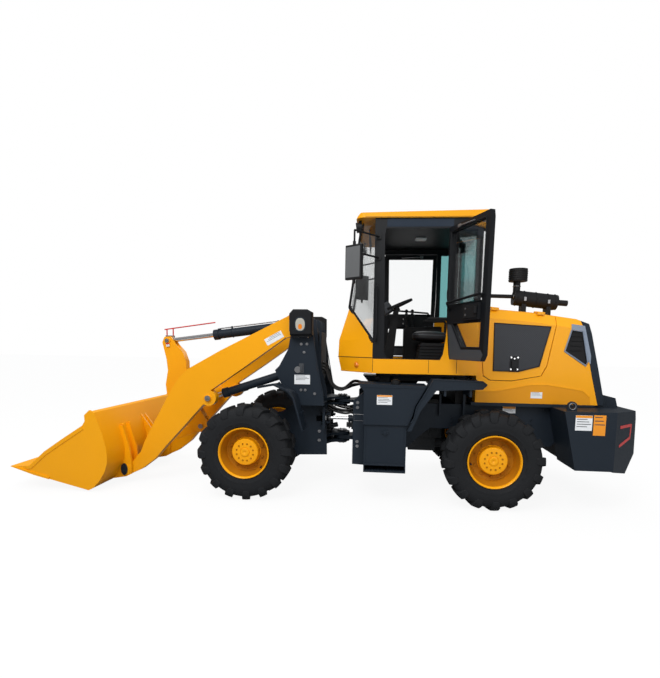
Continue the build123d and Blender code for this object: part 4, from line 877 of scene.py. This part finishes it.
# Cab inside
# Dash with a dark screen, ribbed mat, pedals, knobs, levers and sun blind
steps = [block(-0.62 + 0.03 * i, -0.605 + 0.03 * i, -0.42, 0.42, 1.3302, 1.3345) for i in range(-15, 6)]
add("floor_mat", [block(-1.18, -0.42, -0.44, 0.44, 1.3301, 1.3322)] + steps, rubber, "rear_chassis")
pedals = []
for y in (-0.20, 0.16, 0.26):
    pedals += [prism([(-0.430, 1.345), (-0.440, 1.338), (-0.520, 1.400), (-0.512, 1.412)], y - 0.035, y + 0.035),
               rod((-0.450, y, 1.332), (-0.475, y, 1.372), 0.009, 8)]
add("pedals", pedals, plastic, "rear_chassis", bevel=0.003)
dash = [prism([(-0.470, 1.900), (-0.440, 2.020), (-0.490, 2.050), (-0.560, 1.962)], -0.16, 0.16)]
add("dash_pod", dash, grey_trim, "rear_chassis", bevel=0.012, segments=3)
add("dash_screen", [prism([(-0.5015, 2.0365), (-0.5060, 2.0400), (-0.5495, 1.984), (-0.5450, 1.9800)], -0.12, 0.12)], black,
    "rear_chassis")
stalks = [pipe([(-0.575, 0.04, 1.955), (-0.560, 0.20, 1.975)], 0.006, 8), pipe([(-0.575, -0.04, 1.955), (-0.560, -0.18, 1.975)], 0.006, 8),
          rod((-0.560, 0.20, 1.975), (-0.556, 0.235, 1.980), 0.010, 10)]
add("column_stalks", stalks, plastic, "rear_chassis")
knobs = []
for x in (-0.730, -0.800):
    knobs.append(lathe([(0.0, 0.001), (0.004, 0.014), (0.018, 0.021), (0.036, 0.019), (0.046, 0.008), (0.048, 0.001)],
                       (x, -0.415, 1.9635), axis="Z", steps=20, closed=False))
add("lever_knobs", knobs, plastic, "rear_chassis")
switches = [block(-0.98 - 0.05 * i, -0.95 - 0.05 * i, -0.45 + 0.0, -0.42, 1.7985, 1.806) for i in range(3)]
add("console_switches", switches, grey_trim, "rear_chassis", bevel=0.002)
add("console_cover", [prism([(-0.715, 1.7815), (-0.715, 1.786), (-1.135, 1.805), (-1.135, 1.8005)], -0.49, -0.34)], vinyl,
    "rear_chassis", bevel=0.001)
gaiters = [lathe([(1.782 + 0.012 * i, 0.034 - 0.003 * i - (0.006 if i % 2 else 0)) for i in range(8)], (x, -0.415, 0.0),
                 axis="Z", steps=20, closed=False) for x in (-0.744, -0.814)]
add("lever_gaiters", gaiters, rubber, "rear_chassis")
blind = [block(-0.285, -0.275, -0.36, 0.36, 2.640, 2.750), rod((-0.280, -0.37, 2.752), (-0.280, 0.37, 2.752), 0.009, 10)]
add("sun_blind", blind, grey_trim, "rear_chassis", bevel=0.003)
add("cab_light", [block(-0.90, -0.78, -0.05, 0.05, 2.735, 2.7545)], white, "rear_chassis", bevel=0.006)
vents = [disc((-0.452, s * 0.10, 2.0), (-0.95, 0, 0.25), 0.018, 0.003, 16) for s in (1, -1)]
add("dash_vents", vents, plastic, "rear_chassis")

# Cab underside
# Insulating pan, cross tubes and rubber mounts between the cab floor and the frame
pan = [block(-1.300, -0.420, -0.560, 0.560, 1.258, 1.2845), block(-1.210, -0.530, -0.400, 0.400, 1.195, 1.2575)]
pan += [rod((x, -0.46, 1.225), (x, 0.46, 1.225), 0.024, 16) for x in (-0.400, -1.335)]
add("cab_pan", pan, plastic, "rear_chassis", bevel=0.006)
mounts = [rod((x, s * 0.425, 1.196), (x, s * 0.425, 1.2575), 0.052, 24) for x in (-0.60, -1.14) for s in (1, -1)]
add("cab_mounts", mounts, rubber, "rear_chassis", bevel=0.006)

# Seat
# Stuffed cushion and back with piped seams, arm pads and a bellows on the seat base
def pad(size, place, tilt, power=5.0, rows=20, columns=28, puff=0.10):
    verts, faces = [], []
    turn = Matrix.Rotation(tilt, 4, "Y")
    for i in range(rows + 1):
        u = -pi / 2 + pi * i / rows
        for j in range(columns):
            v = 2 * pi * j / columns
            spot = (cos(u) * cos(v), cos(u) * sin(v), sin(u))
            total = (abs(spot[0]) ** power + abs(spot[1]) ** power + abs(spot[2]) ** 3.2) ** (-1 / power)
            x, y, z = spot[0] * total, spot[1] * total, max(-1, min(1, spot[2] * total))
            z *= 1 + puff * (1 - x * x) * (1 - y * y)
            verts.append(Vector(place) + turn @ Vector((x * size[0], y * size[1], z * size[2])))
    for i in range(rows):
        for j in range(columns):
            k = (j + 1) % columns
            faces.append([i * columns + j, i * columns + k, (i + 1) * columns + k, (i + 1) * columns + j])
    return verts, faces


def welt(size, place, tilt, height, radius=0.005):
    turn = Matrix.Rotation(tilt, 4, "Y")
    path = []
    for j in range(56):
        v = 2 * pi * j / 56
        total = (abs(cos(v)) ** 5 + abs(sin(v)) ** 5) ** (-1 / 5)
        path.append(Vector(place) + turn @ Vector((cos(v) * total * size[0], sin(v) * total * size[1], height)))
    return pipe(path, radius, 6, loop=True)


back_tilt = radians(81)
parts = (
    ("seat_cushion", (0.205, 0.225, 0.058), (-0.985, 0, 1.672), radians(-2), 0.8),
    ("seat_back", (0.255, 0.215, 0.045), (-1.230, 0, 1.985), -back_tilt, 0.8),
)
for name, dims, place, tilt, fill in parts:
    made = add(name, [pad(dims, place, tilt)], vinyl, "rear_chassis", smooth=60)
    if name == "seat_cushion":
        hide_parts("seat")
    add(f"{name}_welts", [welt((dims[0] * 0.995, dims[1] * 0.995), place, tilt, 0.012, 0.004)], grey_trim, "rear_chassis")
arms = [block(-1.18, -0.92, s * 0.245 - 0.022, s * 0.245 + 0.022, 1.845, 1.875) for s in (1, -1)]
arms += [block(-1.195, -1.165, s * 0.245 - 0.012, s * 0.245 + 0.012, 1.70, 1.85) for s in (1, -1)]
add("seat_arms", arms, plastic, "rear_chassis", bevel=0.008, segments=2)
bellows = []
for i in range(7):
    z = 1.36 + i * 0.034
    bellows.append(block(-1.195 + 0.004 * (i % 2), -0.845 - 0.004 * (i % 2), -0.1985, 0.1985, z, z + 0.016))
add("seat_bellows", bellows, rubber, "rear_chassis", bevel=0.004)

# Side boxes
# Blank label, framed plate and bolt pairs, filler cap, locker latch and toothed step edge
for side, tag in ((1, "left"), (-1, "right")):
    label(f"side_box_label_{tag}", (-0.476, side * 0.8157, 1.038), (-0.148 * side, 0, 0), (0, 0, 0.094), "rear_chassis",
          white, band=orange, share=0.16, lines=4)
rect = [(-0.176, 0.7015, 0.808), (-0.270, 0.7015, 0.808), (-0.270, 0.7015, 0.872), (-0.176, 0.7015, 0.872)]
add("front_plate_frame", both([pipe(rect, 0.0028, 6, loop=True)]), steel, "rear_chassis")
box_bolts = []
for x, z in ((-0.210, 0.991), (-0.210, 0.941), (-0.212, 0.594), (-0.213, 0.547)):
    box_bolts += bolt((x, 0.700, z), (0, 1, 0), 0.011)
add("side_box_bolts", both(box_bolts), steel, "rear_chassis")
seams = [block(-0.698, -0.283, 0.795, 0.7975, 0.783, 0.7895), block(-0.305, -0.300, 0.795, 0.7975, 0.405, 0.783),
         block(-0.680, -0.675, 0.795, 0.7975, 0.405, 0.783), block(-0.860, -0.235, 0.8152, 0.8185, 1.155, 1.167)]
latch = [block(-0.520, -0.455, 0.795, 0.806, 0.700, 0.730), block(-0.500, -0.475, 0.806, 0.815, 0.690, 0.735)]
add("side_box_seams", both(seams), slate, "rear_chassis", bevel=0.001)
add("side_box_latch", both(latch), slate, "rear_chassis", bevel=0.002)
teeth = [block(-0.680 + 0.03 * i, -0.665 + 0.03 * i, 0.70, 0.812, 0.3302, 0.336) for i in range(13)]
add("step_teeth", both(teeth), slate, "rear_chassis")
cap = [rod((-0.58, 0.74, 1.188), (-0.58, 0.74, 1.225), 0.045, 24), rod((-0.58, 0.74, 1.225), (-0.58, 0.74, 1.236), 0.030, 6)]
add("filler_caps", both(cap), plastic, "rear_chassis", bevel=0.003)

# Rear fenders
# Rolled lip along the outer edge and bolts on the deck
lip = [(-0.735, 0.826), (-0.764, 0.874), (-0.787, 0.984), (-0.936, 1.250), (-1.393, 1.241), (-1.433, 1.209)]
add("rear_fender_edges", both([pipe([(x, 0.8585, z - 0.002) for x, z in lip], 0.008, 8)]), slate, "rear_chassis")
fender_bolts = []
for x in (-1.00, -1.15, -1.34):
    for y in (0.64, 0.80):
        fender_bolts += bolt((x, y, 1.2445 + (x + 1.15) * -0.02), (0, 0, 1), 0.008)
add("rear_fender_bolts", both(fender_bolts), slate, "rear_chassis")

# Rear frame
# Blank labels on the rail, bolts of the cross members, breather and filter on the gearbox
for side, tag in ((1, "left"), (-1, "right")):
    label(f"rail_label_{tag}", (-1.755, side * 0.4807, 0.932), (-0.130 * side, 0, 0), (0, 0, 0.070), "rear_chassis", white,
          band=orange, share=0.35, lines=2)
rail_bolts = []
for x, z in ((-1.18, 0.79), (-1.18, 0.83), (-1.98, 0.79), (-1.98, 0.83), (-1.44, 0.66), (-1.62, 0.66), (-1.44, 0.72),
             (-1.62, 0.72), (-0.45, 0.90), (-0.35, 0.90), (-0.45, 0.48), (-0.35, 0.48), (-2.24, 0.94), (-2.10, 0.94)):
    rail_bolts += bolt((x, 0.480, z), (0, 1, 0), 0.011)
add("rail_bolts", both(rail_bolts), slate, "rear_chassis")
gear = [rod((-0.90, 0.210, 0.80), (-0.90, 0.262, 0.80), 0.055, 24), rod((-0.98, -0.210, 0.72), (-0.98, -0.300, 0.72), 0.045, 24)]
gear += [block(-1.10 + 0.10 * i, -1.085 + 0.10 * i, -0.2165, 0.2165, 0.575, 0.925) for i in range(4)]
add("gearbox_ribs", gear, cast, "rear_chassis", bevel=0.003)
filter_cans = [rod((-0.82, -0.210, 0.66), (-0.82, -0.330, 0.66), 0.045, 24)]
add("gearbox_filter", filter_cans, steel, "rear_chassis", bevel=0.004)
gear_bolts = []
for i in range(10):
    a = 2 * pi * i / 10
    gear_bolts += bolt((-0.6995, 0.095 * cos(a), 0.64 + 0.095 * sin(a)), (1, 0, 0), 0.007)
for i in range(6):
    for s in (1, -1):
        gear_bolts += bolt((-0.74 - 0.07 * i, s * 0.165, 0.5600), (0, 0, -1), 0.007)
add("gearbox_bolts", gear_bolts, steel, "rear_chassis")
engine = [block(-2.22 + 0.15 * i, -2.13 + 0.15 * i, -0.262, 0.262, 1.4800, 1.510) for i in range(4)]
engine += [rod((-1.60, 0.270, 1.20), (-1.60, 0.315, 1.20), 0.06, 24), rod((-2.281, 0, 1.15), (-2.295, 0, 1.15), 0.20, 40)]
add("engine_covers", engine, cast, "rear_chassis", bevel=0.006)

# Counterweight
# Blank labels, red mark on the cut corner, tail lamps, reflectors and lifting eye rims
for side, tag in ((1, "left"), (-1, "right")):
    label(f"weight_label_white_{tag}", (-2.313, side * 0.9007, 0.884), (-0.150 * side, 0, 0), (0, 0, 0.142), "rear_chassis",
          white, band=orange, share=0.16, lines=4)
    label(f"weight_label_orange_{tag}", (-2.454, side * 0.9007, 0.865), (-0.108 * side, 0, 0), (0, 0, 0.190),
          "rear_chassis", orange, lines=3)
corner_out = Vector((-0.6974, 0.7167, 0))
spots = [(0.20, 0.842), (0.73, 0.835), (0.70, 0.712), (0.21, 0.664)]
mark = []
for (u0, z0), (u1, z1) in zip(spots, spots[1:]):
    a = Vector((-2.605 - 0.37 * u0, 0.900 - 0.36 * u0, z0))
    b = Vector((-2.605 - 0.37 * u1, 0.900 - 0.36 * u1, z1))
    way = (b - a).normalized()
    off = way.cross(corner_out) * 0.014
    ends = [a - way * 0.010 - off, b + way * 0.010 - off, b + way * 0.010 + off, a - way * 0.010 + off]
    verts = [p + corner_out * 0.0004 for p in ends] + [p + corner_out * 0.0020 for p in ends]
    mark.append((verts, [[0, 1, 2, 3], [4, 5, 6, 7], [0, 1, 5, 4], [1, 2, 6, 5], [2, 3, 7, 6], [3, 0, 4, 7]]))
add("corner_marks", both(mark), red, "rear_chassis", smooth=0)
tail = [block(-2.985, -2.966, s * 0.40 - 0.07, s * 0.40 + 0.07, 0.775, 0.855) for s in (1, -1)]
add("tail_lamp_boxes", tail, plastic, "rear_chassis", bevel=0.004)
add("tail_lamps_red", [block(-2.990, -2.984, s * 0.43 - 0.033, s * 0.43 + 0.033, 0.783, 0.847) for s in (1, -1)], lamp_red,
    "rear_chassis", bevel=0.002)
add("tail_lamps_amber", [block(-2.990, -2.984, s * 0.367 - 0.024, s * 0.367 + 0.024, 0.783, 0.847) for s in (1, -1)],
    lamp_amber, "rear_chassis", bevel=0.002)
add("rear_plate", [block(-2.978, -2.966, -0.20, 0.20, 0.735, 0.825)], white, "rear_chassis", bevel=0.002)
weight_bolts = []
for y in (-0.25, -0.08, 0.08, 0.25):
    weight_bolts += bolt((-2.52, y, 0.9875), (0, 0, 1), 0.014)
for s in (1, -1):
    weight_bolts += bolt((-2.735, s * 0.30, 1.0965), (0, 0, 1), 0.012)
add("weight_bolts", weight_bolts, steel, "rear_chassis")
eye_rims = [ring((-2.240, y, 1.025), (0, 1, 0), 0.030, 0.0045) for y in (0.8125, 0.7875)]
add("lifting_eye_rims", both(eye_rims), steel, "rear_chassis")

# Camera
# Placed and aimed as fitted to the wheels, the ground and the cab of the photograph
yaw, pitch, roll = radians(4.4767), radians(-5.6579), radians(1.0080)
ahead = Vector((sin(yaw), -cos(yaw), 0)) * cos(pitch) + Vector((0, 0, 1)) * sin(pitch)
level = Vector((-cos(yaw), -sin(yaw), 0))
upright = level.cross(ahead)
right = level * cos(roll) + upright * sin(roll)
up = level * -sin(roll) + upright * cos(roll)
lens = bpy.data.cameras.new("camera")
lens.lens = 23.52
lens.sensor_width = 36
lens.shift_x = -0.0218
lens.shift_y = 0.0745
camera = bpy.data.objects.new("camera", lens)
bpy.context.collection.objects.link(camera)
pose = Matrix((right, up, -ahead)).transposed().to_4x4()
pose.translation = (-0.4231, 5.1037, 1.5568)
camera.matrix_world = pose
bpy.context.scene.camera = camera
bpy.context.scene.view_settings.view_transform = "Standard"

# Light and ground
# White to the camera, a softer sky for the object, one broad lamp from above and a faint shadow on the floor
world = bpy.data.worlds.new("room")
bpy.context.scene.world = world
world.use_nodes = True
nodes, links = world.node_tree.nodes, world.node_tree.links
background = nodes["Background"]
seen = nodes.new("ShaderNodeBackground")
seen.inputs["Color"].default_value = (1, 1, 1, 1)
seen.inputs["Strength"].default_value = 1.0
height = nodes.new("ShaderNodeTexCoord")
axes = nodes.new("ShaderNodeSeparateXYZ")
links.new(height.outputs["Generated"], axes.inputs["Vector"])
sky = nodes.new("ShaderNodeMapRange")
sky.inputs["From Min"].default_value = -0.2
sky.inputs["From Max"].default_value = 0.9
sky.inputs["To Min"].default_value = 0.22
sky.inputs["To Max"].default_value = 1.15
links.new(axes.outputs["Z"], sky.inputs["Value"])
ray = nodes.new("ShaderNodeLightPath")
damp = nodes.new("ShaderNodeMapRange")
damp.inputs["To Min"].default_value = 1.0
damp.inputs["To Max"].default_value = 0.35
links.new(ray.outputs["Is Glossy Ray"], damp.inputs["Value"])
level_light = nodes.new("ShaderNodeMath")
level_light.operation = "MULTIPLY"
links.new(sky.outputs["Result"], level_light.inputs[0])
links.new(damp.outputs["Result"], level_light.inputs[1])
links.new(level_light.outputs["Value"], background.inputs["Strength"])
background.inputs["Color"].default_value = (0.97, 0.985, 1, 1)
pick = nodes.new("ShaderNodeMixShader")
links.new(ray.outputs["Is Camera Ray"], pick.inputs["Fac"])
links.new(background.outputs["Background"], pick.inputs[1])
links.new(seen.outputs["Background"], pick.inputs[2])
links.new(pick.outputs["Shader"], nodes["World Output"].inputs["Surface"])
for name, place, aim, power, width in (
    ("key_light", (1.5, 5.5, 6.5), (0, 0, 1.0), 330, 3.5),
    ("side_light", (-3.5, 6.0, 2.5), (-0.5, 0, 1.2), 60, 3.0),
    ("back_light", (-1.0, -6.0, 5.0), (0, 0, 1.0), 90, 4.0),
):
    bulb = bpy.data.lights.new(name, "AREA")
    bulb.energy = power
    bulb.size = width
    light = bpy.data.objects.new(name, bulb)
    bpy.context.collection.objects.link(light)
    light.location = place
    light.rotation_euler = (Vector(aim) - Vector(place)).to_track_quat("-Z", "Y").to_euler()
floor_look = finish("floor_white", (0.30, 0.30, 0.30), 0.9)
nodes, links = floor_look.node_tree.nodes, floor_look.node_tree.links
bright = nodes.new("ShaderNodeEmission")
bright.inputs["Strength"].default_value = 1.0
pale = nodes.new("ShaderNodeBsdfDiffuse")
pale.inputs["Color"].default_value = (0.9, 0.9, 0.9, 1)
soft_white = nodes.new("ShaderNodeMixShader")
soft_white.inputs["Fac"].default_value = 0.09
links.new(bright.outputs["Emission"], soft_white.inputs[1])
links.new(pale.outputs["BSDF"], soft_white.inputs[2])
ray = nodes.new("ShaderNodeLightPath")
pick = nodes.new("ShaderNodeMixShader")
links.new(ray.outputs["Is Camera Ray"], pick.inputs["Fac"])
links.new(nodes["Principled BSDF"].outputs["BSDF"], pick.inputs[1])
links.new(soft_white.outputs["Shader"], pick.inputs[2])
links.new(pick.outputs["Shader"], nodes["Material Output"].inputs["Surface"])
floor = add("floor", [([(-40, -40, -0.002), (40, -40, -0.002), (40, 40, -0.002), (-40, 40, -0.002)], [[0, 1, 2, 3]])],
            floor_look, None)
